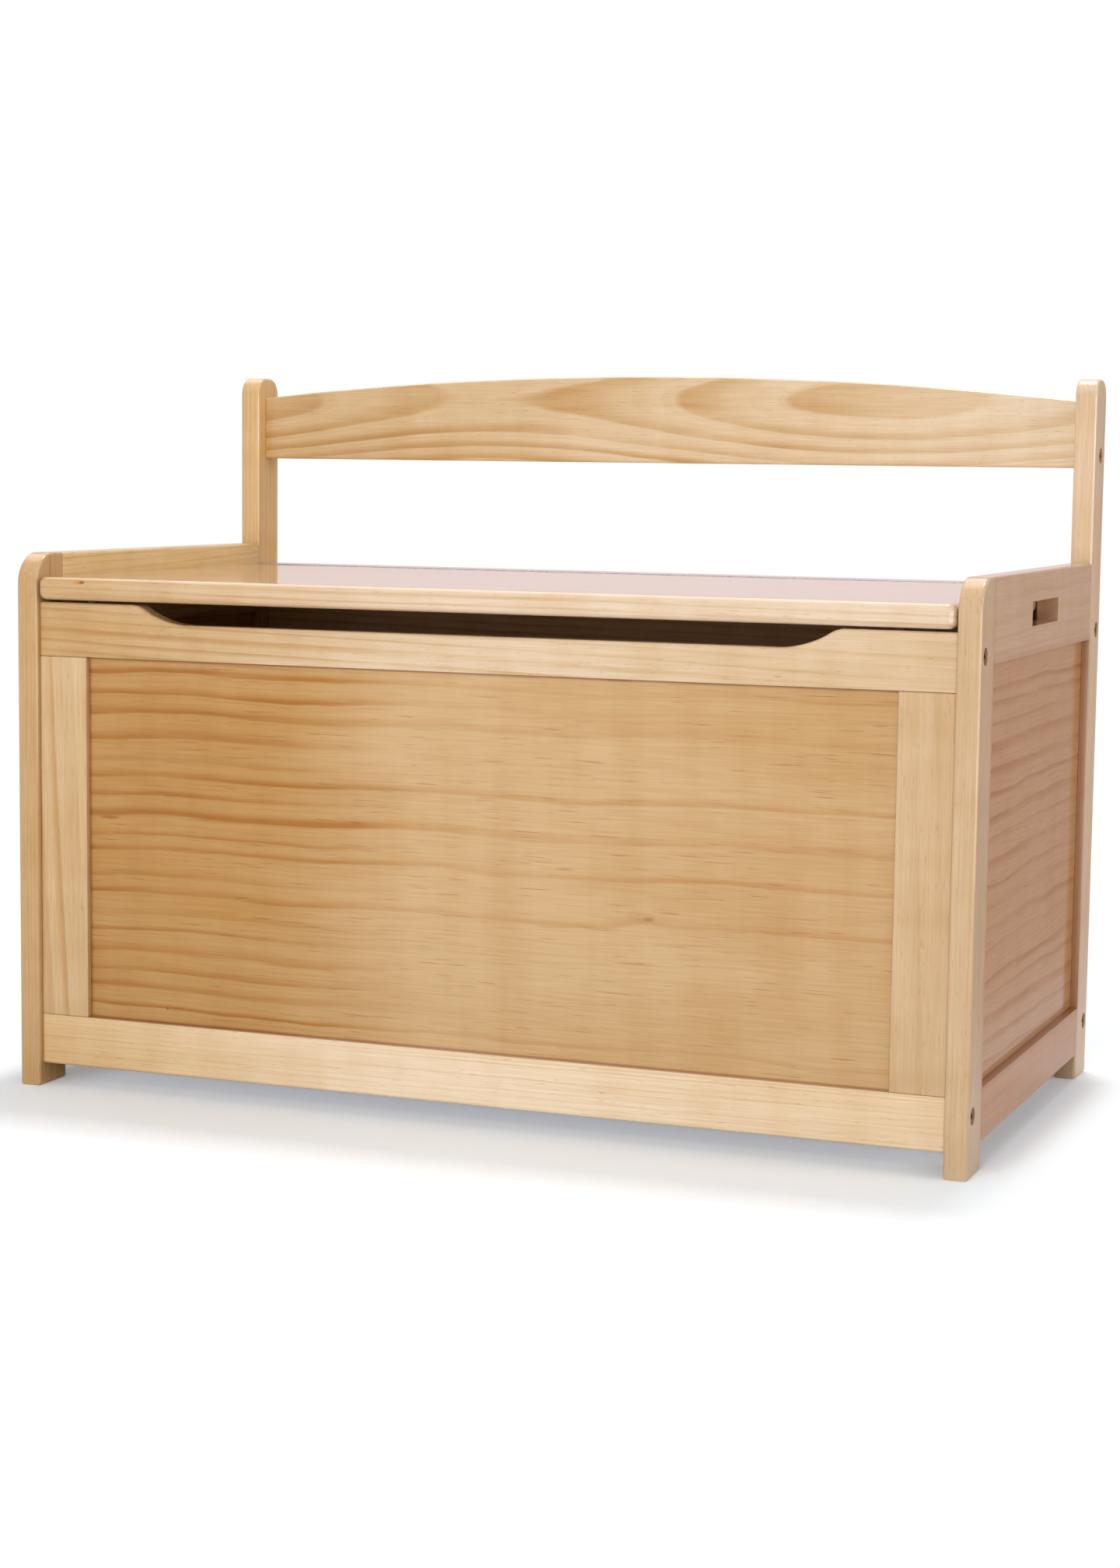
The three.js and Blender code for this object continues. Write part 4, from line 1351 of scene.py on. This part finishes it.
@dataclass
class Floor:
    """The cleats around the inside and the plywood floor that rests on them."""

    cuts: dict[str, Cut]
    veneer: Cut
    pieces: list[bpy.types.Object] = field(default_factory=list)

    def build(self) -> None:
        """Builds and dresses the cleats and the floor."""
        for name, cut in self.cuts.items():
            node = f"{name}_floor_cleat"
            cleat = Workpiece(node + "_board", *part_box(node))
            cleat.sand()
            self.pieces.append(cleat.deliver(node, "pine", pine(node, cut)))
        node = "floor_panel"
        panel = Workpiece(node + "_sheet", *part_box(node))
        panel.sand()
        self.pieces.append(panel.deliver(node, "plywood", plywood(node, self.veneer)))


@dataclass
class Seat:
    """The lid, the rear strip that carries it, the ledger under the strip and the hinge."""

    lid_cut: Cut
    strip_cut: Cut
    ledger_cut: Cut
    zinc: bpy.types.Material
    rubber: bpy.types.Material
    pieces: list[bpy.types.Object] = field(default_factory=list)

    SCREWS = ("left", "middle", "right")

    def build(self) -> None:
        """Builds and dresses the seat."""
        self.board("lid", self.lid_cut)
        self.board("rear_strip", self.strip_cut)
        self.ledger()
        self.screws()
        self.bumpers()
        self.hinge()

    def slab(self, name: str, low: Vector, high: Vector, corner: float, edge: float) -> Workpiece:
        """A slab whose corners and arrises are rounded all alike.

        Args:
            name: Its name.
            low: Its lowest corner.
            high: Its highest corner.
            corner: The radius of its corners in plan.
            edge: The radius of its arrises.

        Returns:
            The slab.
        """
        slab = Workpiece(name, low, high)
        slab.bevel(lambda e: abs(e.verts[0].co.z - e.verts[1].co.z) > CLOSE, corner, 8)
        slab.bevel(lambda e: at(e, Z, low.z) or at(e, Z, high.z), edge, 7)
        return slab

    def board(self, node: str, cut: Cut) -> None:
        """A seat board, rounder along its outer edges than along the seam.

        Args:
            node: The board's CAD node: the lid or the rear strip.
            cut: How the board was cut.
        """
        low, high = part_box(node)
        board = self.slab(node + "_board", low, high, SEAM_CORNER, SEAM_ROUND)
        over = 3 * BOARD_CORNER
        outer_low = Vector((low.x, low.y - (over if node == "rear_strip" else 0), low.z))
        outer_high = Vector((high.x, high.y + (over if node == "lid" else 0), high.z))
        edge = BOARD_ROUND if node == "lid" else ARRIS
        board.combine(self.slab("outer", outer_low, outer_high, BOARD_CORNER, edge), "INTERSECT")
        if node == "rear_strip":
            for name in self.SCREWS:
                screw_low, screw_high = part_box(f"{name}_ledger_screw")
                middle = (screw_low + screw_high) / 2
                board.bore(Z, (middle.x, middle.y, low.z - MM),
                           (middle.x, middle.y, screw_high.z + DOWEL_PLAY), SCREW_RADIUS + DOWEL_PLAY)
        self.pieces.append(board.deliver(node, "pine", pine(node, cut)))

    def ledger(self) -> None:
        """The ledger, bored for its screws."""
        node = "seat_ledger"
        ledger = Workpiece(node + "_board", *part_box(node))
        low, high = ledger.low, ledger.high
        ledger.sand()
        for name in self.SCREWS:
            screw_low, screw_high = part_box(f"{name}_ledger_screw")
            middle = (screw_low + screw_high) / 2
            ledger.bore(Z, (middle.x, middle.y, low.z - MM), (middle.x, middle.y, high.z + MM),
                        SCREW_RADIUS + DOWEL_PLAY)
            ledger.bore(Z, (middle.x, middle.y, low.z - MM),
                        (middle.x, middle.y, low.z + SCREW_HEAD_HEIGHT), SCREW_HEAD_RADIUS + BOLT_PLAY)
        self.pieces.append(ledger.deliver(node, "pine", pine(node, self.ledger_cut)))

    def screws(self) -> None:
        """The ledger's screws, each modelled in its place, heads down."""
        for name in self.SCREWS:
            node = f"{name}_ledger_screw"
            low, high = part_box(node)
            middle = (low + high) / 2
            head_top = low.z + SCREW_HEAD_HEIGHT - 2 * GLUE_LINE
            screw = Rod(node + "_part", Z, (middle.x, middle.y, low.z), (middle.x, middle.y, head_top),
                        SCREW_HEAD_RADIUS, 36)
            screw.bevel(lambda e: at(e, Z, low.z), 0.5 * MM, 3)
            shank = Rod("shank", Z, (middle.x, middle.y, low.z + MM), (middle.x, middle.y, high.z),
                        SCREW_RADIUS, 24)
            screw.combine(shank, "UNION")
            for across in (X, Y):
                reach = Vector((0.5 * MM, 0.5 * MM, 1.4 * MM))
                reach[across] = 2.2 * MM
                centre = Vector((middle.x, middle.y, low.z))
                screw.mortise(centre - reach, centre + reach)
            self.pieces.append(screw.deliver(node, "steel", self.zinc))

    def bumpers(self) -> None:
        """The rubber bumpers that the lid lands on: low domes."""
        for side in Side:
            node = f"{side.name.lower()}_lid_bumper"
            low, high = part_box(node)
            middle = (low + high) / 2
            bumper = Rod(node + "_dome", Z, (middle.x, middle.y, low.z), (middle.x, middle.y, high.z),
                         (high.x - low.x) / 2, 40)
            bumper.bevel(lambda e: at(e, Z, high.z), 1.5 * MM, 6)
            self.pieces.append(bumper.deliver(node, "rubber", self.rubber))

    def hinge(self) -> None:
        """The continuous hinge keeps its CAD shape and gets its plating."""
        for node in ("hinge_strip_leaf", "hinge_lid_leaf", "hinge_pin"):
            for slot in frame["nodes"][node].material_slots:
                slot.material = self.zinc
            log.info("%s is dressed in zinc", node)


@dataclass
class Fasteners:
    """The connector bolts through the posts and their cross-dowel nuts in the rails."""

    bronze: bpy.types.Material
    zinc: bpy.types.Material
    pieces: list[bpy.types.Object] = field(default_factory=list)

    JOINTS = ("front_top", "front_bottom", "back_top", "back_bottom", "backrest")

    def build(self) -> None:
        """Builds one bolt and one nut, copies them and dresses the copies."""
        bolt = self.bolt()
        nut = self.nut()
        for side in Side:
            for joint in self.JOINTS:
                opens = -1 if joint.startswith("back_") else 1
                bolt_node = f"{side.name.lower()}_{joint}_bolt"
                low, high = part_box(bolt_node)
                middle = (low + high) / 2
                end = high.x if side is Side.RIGHT else low.x
                turn = 0.0 if side is Side.RIGHT else math.pi
                self.copy(bolt, bolt_node, Vector((end, middle.y, middle.z)), turn, "bronze", self.bronze)
                nut_node = f"{side.name.lower()}_{joint}_nut"
                turn = 0.0 if opens > 0 else math.pi
                low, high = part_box(nut_node)
                self.copy(nut, nut_node, (low + high) / 2, turn, "steel", self.zinc)
        bpy.data.objects.remove(bolt.body)
        bpy.data.objects.remove(nut.body)

    def bolt(self) -> Workpiece:
        """Makes a bolt with a flat round head and a hexagon socket.

        Returns:
            The bolt, its head's face at the origin and its shank along -X.
        """
        length = (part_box("right_front_top_bolt")[1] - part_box("right_front_top_bolt")[0]).x
        bolt = Rod("bolt_pattern", X, (-HEAD_THICKNESS, 0, 0), (0, 0, 0), HEAD_RADIUS, 56)
        bolt.bevel(lambda e: at(e, X, 0.0), CHAMFER, 4)
        shank = Rod("shank", X, (-length, 0, 0), (-HEAD_THICKNESS / 2, 0, 0), SHANK_RADIUS, 40)
        shank.bevel(lambda e: at(e, X, -length), CHAMFER, 2)
        bolt.combine(shank, "UNION")
        bolt.combine(Rod("key", X, (-SOCKET_DEPTH, 0, 0), (MM, 0, 0), SOCKET_RADIUS, 6))
        return bolt

    def nut(self) -> Workpiece:
        """Makes a cross-dowel nut.

        Returns:
            The nut, around the origin, its slotted end towards +Y.
        """
        low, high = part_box("right_front_top_nut")
        half = (high.y - low.y) / 2
        radius = (high.x - low.x) / 2
        nut = Rod("nut_pattern", Y, (0, -half, 0), (0, half, 0), radius, 48)
        nut.bevel(lambda e: at(e, Y, -half) or at(e, Y, half), 0.5 * MM, 3)
        nut.bore(X, (-2 * radius, 0, 0), (2 * radius, 0, 0), SHANK_RADIUS + DOWEL_PLAY)
        nut.mortise((-2 * radius, half - 1.5 * MM, -0.6 * MM), (2 * radius, half + MM, 0.6 * MM))
        return nut

    def copy(self, pattern: Workpiece, node: str, place: Vector, turn: float, slot: str,
             material: bpy.types.Material) -> None:
        """Copies a pattern with a mesh of its own, and sets the copy in its place.

        Args:
            pattern: The piece to copy.
            node: The CAD node that the copy stands for.
            place: Where the pattern's origin goes.
            turn: How far it turns about Z.
            slot: The record's material slot.
            material: The finish.
        """
        part = Duplicate(pattern, node + "_part", place, turn)
        self.pieces.append(part.deliver(node, slot, material))


# --- Studio ---------------------------------------------------------------------------------------

@dataclass
class Studio:
    """A pale floor, soft light and a camera, none of which is part of the toy box."""

    camera_place: Vector = field(default_factory=lambda: Vector((0.91329, -2.33188, 0.53838)))
    azimuth_deg: float = 21.5358
    elevation_deg: float = 6.3435
    roll_deg: float = 0.7062
    lens_mm: float = 66.37
    floor_size: float = 14.0
    sky: float = 0.5                                       # the light that comes from all around
    # What the lacquer mirrors
    wall: str = "#E5D3D4"                                  # the lit wall behind the toy box
    room: str = "#B59C92"                                  # the unlit room on its right
    window_deg: float = 70.0                               # a low bright window, for the arrises
    window_level: float = 4.0
    softbox_deg: tuple[float, float] = (-145.0, 60.0)      # a softbox high up behind
    softbox_level: float = 3.5
    # How far from the toy box its shadow fades out on the bright paper
    fade_aside: float = 0.055
    fade_front: float = 0.62
    fade_back: float = 0.3

    # Each lamp's name, azimuth from the front towards the right and elevation in degrees, distance and
    # size in metres, and the light it gives a white card that faces it
    LAMPS = (("key", 2.0, 15.0, 2.6, 1.3, 0.48),
             ("overhead", 176.0, 76.0, 4.0, 0.9, 0.42),
             ("aside", 85.0, 15.0, 3.4, 1.3, 0.2))

    def build(self) -> None:
        """Sets up the floor, the world, the lamps and the camera."""
        bpy.context.scene.view_settings.view_transform = "Standard"
        self.floor()
        self.world()
        for lamp in self.LAMPS:
            self.lamp(*lamp)
        self.leak()
        self.camera()

    def towards(self, azimuth_deg: float, elevation_deg: float) -> Vector:
        """Gives the direction of a place seen from the toy box.

        Args:
            azimuth_deg: Its azimuth, from the front towards the right.
            elevation_deg: Its elevation.

        Returns:
            A vector of length 1.
        """
        azimuth, elevation = math.radians(azimuth_deg), math.radians(elevation_deg)
        return Vector((math.sin(azimuth) * math.cos(elevation), -math.cos(azimuth) * math.cos(elevation),
                       math.sin(elevation)))

    def window(self, recipe: Recipe, direction: bpy.types.NodeSocket,
               around: bpy.types.NodeSocket) -> bpy.types.NodeSocket:
        """Adds a tall bright window on the right to what the lacquer mirrors along upright arrises.

        Args:
            recipe: The material in the making.
            direction: The direction that is mirrored, or a place on the floor.
            around: The colour around the window.

        Returns:
            The colour with the window in it.
        """
        add = recipe.add
        level = add("VectorMath", {0: direction, 1: (1.0, 1.0, 0.0)}, operation="MULTIPLY")
        level = add("VectorMath", {0: level}, operation="NORMALIZE")
        facing = add("VectorMath", {0: level, 1: self.towards(self.window_deg, 0.0)}, "Value",
                     operation="DOT_PRODUCT")
        share = add("MapRange", {0: facing, 1: 0.8, 2: 0.9}, interpolation_type="SMOOTHSTEP")
        return add("Mix", {0: share, 6: around, 7: (self.window_level,) * 3 + (1.0,)}, 2, data_type="RGBA")

    def floor(self) -> None:
        """The floor: white where the camera sees it, but for the toy box's shadow."""
        bpy.ops.object.select_all(action="DESELECT")
        bpy.ops.mesh.primitive_plane_add(size=self.floor_size, location=(0, 0, -0.1 * MM))
        floor = bpy.context.object
        floor.name = "studio_floor"
        recipe = Recipe(bpy.data.materials.new("Matt white paper sweep"))
        add = recipe.add
        seen = add("LightPath", out="Is Camera Ray")
        mirrored = add("LightPath", out="Is Glossy Ray")
        place = add("TexCoord", out="Object")
        # For the camera the paper is brighter and bluer, which cancels the warm light that the wood throws
        # on it
        boost = add("Mix", {0: seen, 6: linear("#000000"), 7: linear("#A1ABB4")}, 2, data_type="RGBA")
        lit = add("AddShader", {0: add("BsdfDiffuse", {"Color": linear("#D8D8D8")}),
                                1: add("BsdfDiffuse", {"Color": boost})})
        # Painted light: for the camera the paper under the toy box glows, so that the shadow there stays
        # pale
        low, high = cad_box
        inset = add("VectorMath", {0: place}, operation="ABSOLUTE")
        inset = add("SeparateXYZ", {0: inset}, "X"), add("SeparateXYZ", {0: inset}, "Y")
        under = [add("MapRange", {0: value, 1: edge + 0.02, 2: edge - 0.07},
                     interpolation_type="SMOOTHSTEP") for value, edge in zip(inset, (high.x, high.y))]
        under = add("Math", {0: under[0], 1: under[1]}, operation="MULTIPLY")
        under = add("Math", {0: under, 1: seen}, operation="MULTIPLY")
        glow = add("Emission", {"Color": linear("#989EA6"), "Strength": under})
        lit = add("AddShader", {0: lit, 1: glow})
        # Mirrored, it is the lit wall or the unlit room, apart from what lies close to the toy box
        distance = add("VectorMath", {0: place}, "Value", operation="LENGTH")
        far = add("MapRange", {0: distance, 1: 0.75, 2: 1.5}, interpolation_type="SMOOTHSTEP")
        along = add("SeparateXYZ", {0: place}, "X")
        aside = add("MapRange", {0: along, 1: 0.3, 2: 0.6}, interpolation_type="SMOOTHSTEP")
        away = add("MapRange", {0: distance, 1: 1.3, 2: 2.2}, interpolation_type="SMOOTHSTEP")
        reach = add("Math", {0: far, 1: aside}, operation="MAXIMUM")
        # Seen, it is so bright that only the shadow near the toy box shows
        sideways = add("SeparateXYZ", {0: add("VectorMath", {0: place}, operation="ABSOLUTE")}, "X")
        sideways = add("MapRange", {0: sideways, 1: high.x, 2: high.x + self.fade_aside})
        depth = add("SeparateXYZ", {0: place}, "Y")
        forwards = add("MapRange", {0: depth, 1: low.y, 2: low.y - self.fade_front})
        backwards = add("MapRange", {0: depth, 1: high.y, 2: high.y + self.fade_back})
        depth = add("Math", {0: forwards, 1: backwards}, operation="ADD")
        beyond = add("CombineXYZ", {0: sideways, 1: depth})
        beyond = add("VectorMath", {0: beyond}, "Value", operation="LENGTH")
        beyond = add("MapRange", {0: beyond, 1: 0.2, 2: 1.0}, interpolation_type="SMOOTHSTEP")
        faded = add("Math", {0: beyond, 1: seen}, operation="MULTIPLY")
        reach = add("Math", {0: reach, 1: mirrored, 2: faded}, operation="MULTIPLY_ADD")
        around = add("Mix", {0: aside, 6: linear(self.wall), 7: linear(self.room)}, 2, data_type="RGBA")
        behind = add("SeparateXYZ", {0: place}, "Y")
        behind = add("MapRange", {0: behind, 1: 0.9, 2: 1.5})
        front = add("Math", {0: 1.0, 1: behind}, operation="SUBTRACT")
        front = add("Math", {0: front, 1: aside}, operation="MAXIMUM")
        tinted = add("Math", {0: mirrored, 1: front}, operation="MULTIPLY")
        around = add("Mix", {0: away, 6: around, 7: self.window(recipe, place, around)}, 2,
                     data_type="RGBA")
        backdrop = add("Mix", {0: tinted, 6: linear("#FFFFFF"), 7: around}, 2, data_type="RGBA")
        plain = add("Emission", {"Color": backdrop, "Strength": 1.0})
        floor.data.materials.append(recipe.finish(add("MixShader", {0: reach, 1: lit, 2: plain})))

    def world(self) -> None:
        """The backdrop: plain white where it is seen, and even light on the toy box.

        What the lacquer mirrors of it is a lit wall, an unlit room, a low window and a softbox.
        """
        recipe = Recipe(bpy.data.worlds.new("studio"))
        bpy.context.scene.world = recipe.owner
        add = recipe.add
        camera = add("LightPath", out="Is Camera Ray")
        glossy = add("LightPath", out="Is Glossy Ray")
        clear = add("LightPath", out="Is Transmission Ray")
        shown = add("Math", {0: camera, 1: clear}, operation="MAXIMUM")
        light = add("Background", {"Color": linear("#FFFFFF"), "Strength": self.sky})
        direction = add("TexCoord", out="Generated")
        aside = add("SeparateXYZ", {0: direction}, "X")
        aside = add("MapRange", {0: aside, 1: -0.1, 2: 0.15}, interpolation_type="SMOOTHSTEP")
        above = add("SeparateXYZ", {0: direction}, "Z")
        above = add("MapRange", {0: above, 1: 0.0, 2: 0.03})
        wall = add("Mix", {0: above, 6: linear("#FFFFFF"), 7: linear(self.wall)}, 2, data_type="RGBA")
        around = add("Mix", {0: aside, 6: wall, 7: linear(self.room)}, 2, data_type="RGBA")
        bright = self.window(recipe, direction, around)
        low = add("SeparateXYZ", {0: direction}, "Z")
        low = add("MapRange", {0: low, 1: 0.12, 2: 0.04}, interpolation_type="SMOOTHSTEP")
        around = add("Mix", {0: low, 6: around, 7: bright}, 2, data_type="RGBA")
        softbox = add("VectorMath", {0: direction, 1: self.towards(*self.softbox_deg)}, "Value",
                      operation="DOT_PRODUCT")
        softbox = add("MapRange", {0: softbox, 1: 0.84, 2: 0.95, 3: 1.0, 4: self.softbox_level},
                      interpolation_type="SMOOTHSTEP")
        mirrored = add("Background", {"Color": around, "Strength": softbox})
        white = add("Background", {"Color": linear("#FFFFFF"), "Strength": 1.0})
        light = add("MixShader", {0: glossy, 1: light, 2: mirrored})
        add("OutputWorld", {"Surface": add("MixShader", {0: shown, 1: light, 2: white})})

    def lamp(self, name: str, azimuth_deg: float, elevation_deg: float, distance: float, size: float,
             level: float) -> None:
        """Adds a square soft lamp that looks at the toy box.

        Args:
            name: The lamp's name.
            azimuth_deg: Its azimuth, from the front towards the right.
            elevation_deg: Its elevation.
            distance: How far from the toy box's middle it hangs.
            size: The length of its sides.
            level: The share of its full brightness that it lends a white card which faces it.
        """
        data = bpy.data.lights.new(name, "AREA")
        data.shape = "SQUARE"
        data.size = size
        data.energy = level * (math.pi * distance) ** 2
        lamp = bpy.data.objects.new(name, data)
        bpy.context.scene.collection.objects.link(lamp)
        low, high = cad_box
        direction = self.towards(azimuth_deg, elevation_deg)
        lamp.location = (low + high) / 2 + distance * direction
        lamp.rotation_euler = (-direction).to_track_quat("-Z", "Y").to_euler()
        lamp.visible_camera = False
        lamp.visible_glossy = name != "key"

    def leak(self) -> None:
        """Adds the faint light that gets into the closed box, which a few bounces alone leave black."""
        data = bpy.data.lights.new("leak", "POINT")
        data.shadow_soft_size = 0.12
        data.energy = 0.03
        data.color = (1.0, 0.5, 0.2)
        lamp = bpy.data.objects.new("leak", data)
        bpy.context.scene.collection.objects.link(lamp)
        lamp.location = (0.0, 0.0, 0.24)
        lamp.visible_camera = False

    def camera(self) -> None:
        """Adds the camera at its place, with its turn and its slight roll."""
        data = bpy.data.cameras.new("camera")
        data.sensor_width = 36.0
        data.lens = self.lens_mm
        camera = bpy.data.objects.new("camera", data)
        bpy.context.scene.collection.objects.link(camera)
        back = self.towards(self.azimuth_deg, self.elevation_deg)
        camera.location = self.camera_place
        turn = (-back).to_track_quat("-Z", "Y") @ Quaternion((0, 0, 1), math.radians(self.roll_deg))
        camera.rotation_euler = turn.to_euler()
        bpy.context.scene.camera = camera


def main() -> None:
    logging.basicConfig(level=logging.INFO, format="%(name)s: %(message)s")
    zinc = PlatedSteel("Zinc-plated steel", "#B9BCC0", "#9FA3A8", 0.32).dress()
    bronze = PlatedSteel("Bronze-plated steel", "#BC9C6C", "#735433", 0.3).dress()
    rubber = SoftRubber().dress()
    x, y, z = Grain.ALONG_X, Grain.ALONG_Y, Grain.ALONG_Z
    parts = [
        SideFrame(Side.LEFT, {
            # The left front post's ground is darker than the right one's: partly painted shade, for light
            # that falls from the right
            "front_post": Cut(z, "#CEAA79", (14, 46), 3.0, 0.006, lines=0.62, heartwood_and_painted_light=(0.1, 0.2, 0.1),
                              seed=1.1),
            "back_post": Cut(z, "#E8C792", (26, -50), 3.2, 0.006, lines=0.7, seed=1.9),
            "arm_rail": Cut(y, "#ECD29C", (30, -64), 7.0, -0.03, wave_mm=3, lines=0.78, seed=2.3),
            "bottom_rail": Cut(y, "#DDB68A", (45, 20), 6.0, lines=0.62, seed=2.9),
        }, Cut(y, "#CFA274", (90, 40), 12.0, 0.02, wave_mm=4, ripple_mm=3, late=0.5, lines=0.78,
               seed=3.3)),
        SideFrame(Side.RIGHT, {
            "front_post": Cut(z, "#D4B792", (10, -60), 4.2, 0.004, lines=0.3, heartwood_and_painted_light=(0.1, 0.1, 0.1),
                              seed=4.1),
            "back_post": Cut(z, "#E9CEAE", (20, -52), 3.4, 0.004, lines=0.46, heartwood_and_painted_light=(0.2, 0.1, 0),
                             seed=4.7),
            "arm_rail": Cut(y, "#D4AF8F", (40, 62), 11.0, 0.01, wave_mm=4, lines=0.4, heartwood_and_painted_light=(0, 0, 0.1),
                            seed=5.3),
            "bottom_rail": Cut(y, "#C8925C", (34, -70), 14.0, 0.01, wave_mm=4, lines=0.3, seed=5.9),
        }, Cut(y, "#C79768", (95, -360), 17.0, 0.0, wave_mm=3.5, ripple_mm=2.2, late=0.36, lines=1.0,
               heartwood_and_painted_light=(0, 0, 0), figure=(1.8, 1.6, 1.4), uneven=1.0, seed=6.3)),
        # On the front rails and panel the heartwood share is high at the left end and nil in the middle:
        # partly real heartwood, partly painted shade towards the left and a painted sheen in the middle
        PanelFrame("front", 1, {
            "top_rail": Cut(x, "#E3CCAE", (12, -72), 9.0, 0.03, lines=0.75, heartwood_and_painted_light=(0.98, 0, 0.39),
                            figure=(1.5, 1.1, 0.9), seed=7.1),
            "bottom_rail": Cut(x, "#F7E2C6", (10, 90), 4.6, 0.004, wave_mm=1, lines=0.5,
                               heartwood_and_painted_light=(0.94, 0, 0.4), seed=7.7),
            "left_stile": Cut(z, "#E0C59F", (14, 40), 15.0, 0.04, wave_mm=3, late=0.6, lines=0.7,
                              heartwood_and_painted_light=(0.3, 0.3, 0.2), seed=8.3),
            "right_stile": Cut(z, "#D7B891", (40, 30), 9.0, 0.02, lines=0.23, heartwood_and_painted_light=(0.1, 0.1, 0.1),
                               seed=8.9),
        }, Cut(x, "#D1AF80", (60, 260), 16.0, 0.004, (-40, 240, 1.5), 2.5, 2.2, late=0.34, lines=1.2,
               heartwood_and_painted_light=(0.94, 0, 0.33), figure=(1.55, 0.55, 0.6), turn_mm=(-200, -20), uneven=1.1,
               knots=(Knot((146, -3, -34), (10, 6, 4.5), "#B07C45", 0.25, 3.0),
                      Knot((153, -3, -35), (4, 6, 1.6), "#86552A", 0.4),
                      Knot((-333, -3, 19), (9, 6, 1.5), "#9A5A22", 0.7),
                      Knot((-278, -3, -141), (1.3, 6, 1.1), "#5E3C1E", 0.8)), seed=9.3), True),
        PanelFrame("back", -1, {
            "top_rail": Cut(x, "#E4C094", (-18, -60), 8.0, 0.02, lines=0.7, seed=10.1),
            "bottom_rail": Cut(x, "#E6C49A", (-20, 70), 5.0, lines=0.54, seed=10.7),
            "left_stile": Cut(z, "#E0BA8C", (-14, 40), 9.0, 0.02, lines=0.54, seed=11.3),
            "right_stile": Cut(z, "#E0BC90", (-30, 30), 8.0, 0.02, lines=0.46, seed=11.9),
        }, Cut(x, "#D8B081", (-60, -240), 17.0, -0.01, wave_mm=4, ripple_mm=1.2, late=0.26, lines=0.9,
               heartwood_and_painted_light=(0.2, 0.1, 0.5), figure=(0.5, 0.8, 1.8), seed=12.3)),
        Backrest(Cut(x, "#F3E2C9", (48.4, 18.5), 7.44, 0.0, (-158, 780, 8.5), 0.8, 0.7, late=0.5,
                     lines=1.1, heartwood_and_painted_light=(0.91, 0.5, 0.21), figure=(1.9, 1.3, 1.0), uneven=0.0, seed=13.1),
                 Cut(x, "#E4C49C", (30, 20), 4.0, 0.0, lines=0.46, seed=13.7)),
        Floor({
            "left": Cut(y, "#E0BC90", (30, 20), 6.0, seed=14.1),
            "right": Cut(y, "#E0BC90", (34, 20), 6.0, seed=14.5),
            "front": Cut(x, "#E0BC90", (30, 24), 6.0, seed=14.9),
            "back": Cut(x, "#E0BC90", (30, -24), 6.0, seed=15.3),
        }, Cut(x, "#DDB585", (80, 60), 20.0, wave_mm=4, late=0.25, lines=0.93, seed=15.7)),
        # The lid is darker golden at its left end: partly heartwood, partly painted shade towards the left
        # and a painted sheen in the middle
        Seat(Cut(x, "#EBD4BA", (-8, -48), 6.0, 0.01, lines=0.62, heartwood_and_painted_light=(1, 0.05, 0), stave_mm=66.0,
                 knots=(Knot((-355, -196, 6.4), (5.5, 3, 2.2), "#C98A45", 0.85),
                        Knot((-352, -197, 5.8), (2.6, 3, 1.3), "#8A5526", 0.9)), seed=16.3),
             Cut(x, "#E6C59C", (12, -50), 6.0, lines=0.62, seed=16.9),
             Cut(x, "#E0BC90", (30, 30), 6.0, seed=17.3), zinc, rubber),
        Fasteners(bronze, zinc),
    ]
    for part in parts:
        part.build()
        log.info("%s: %d pieces", type(part).__name__, len(part.pieces))
    Studio().build()


if __name__ == "__main__":
    main()
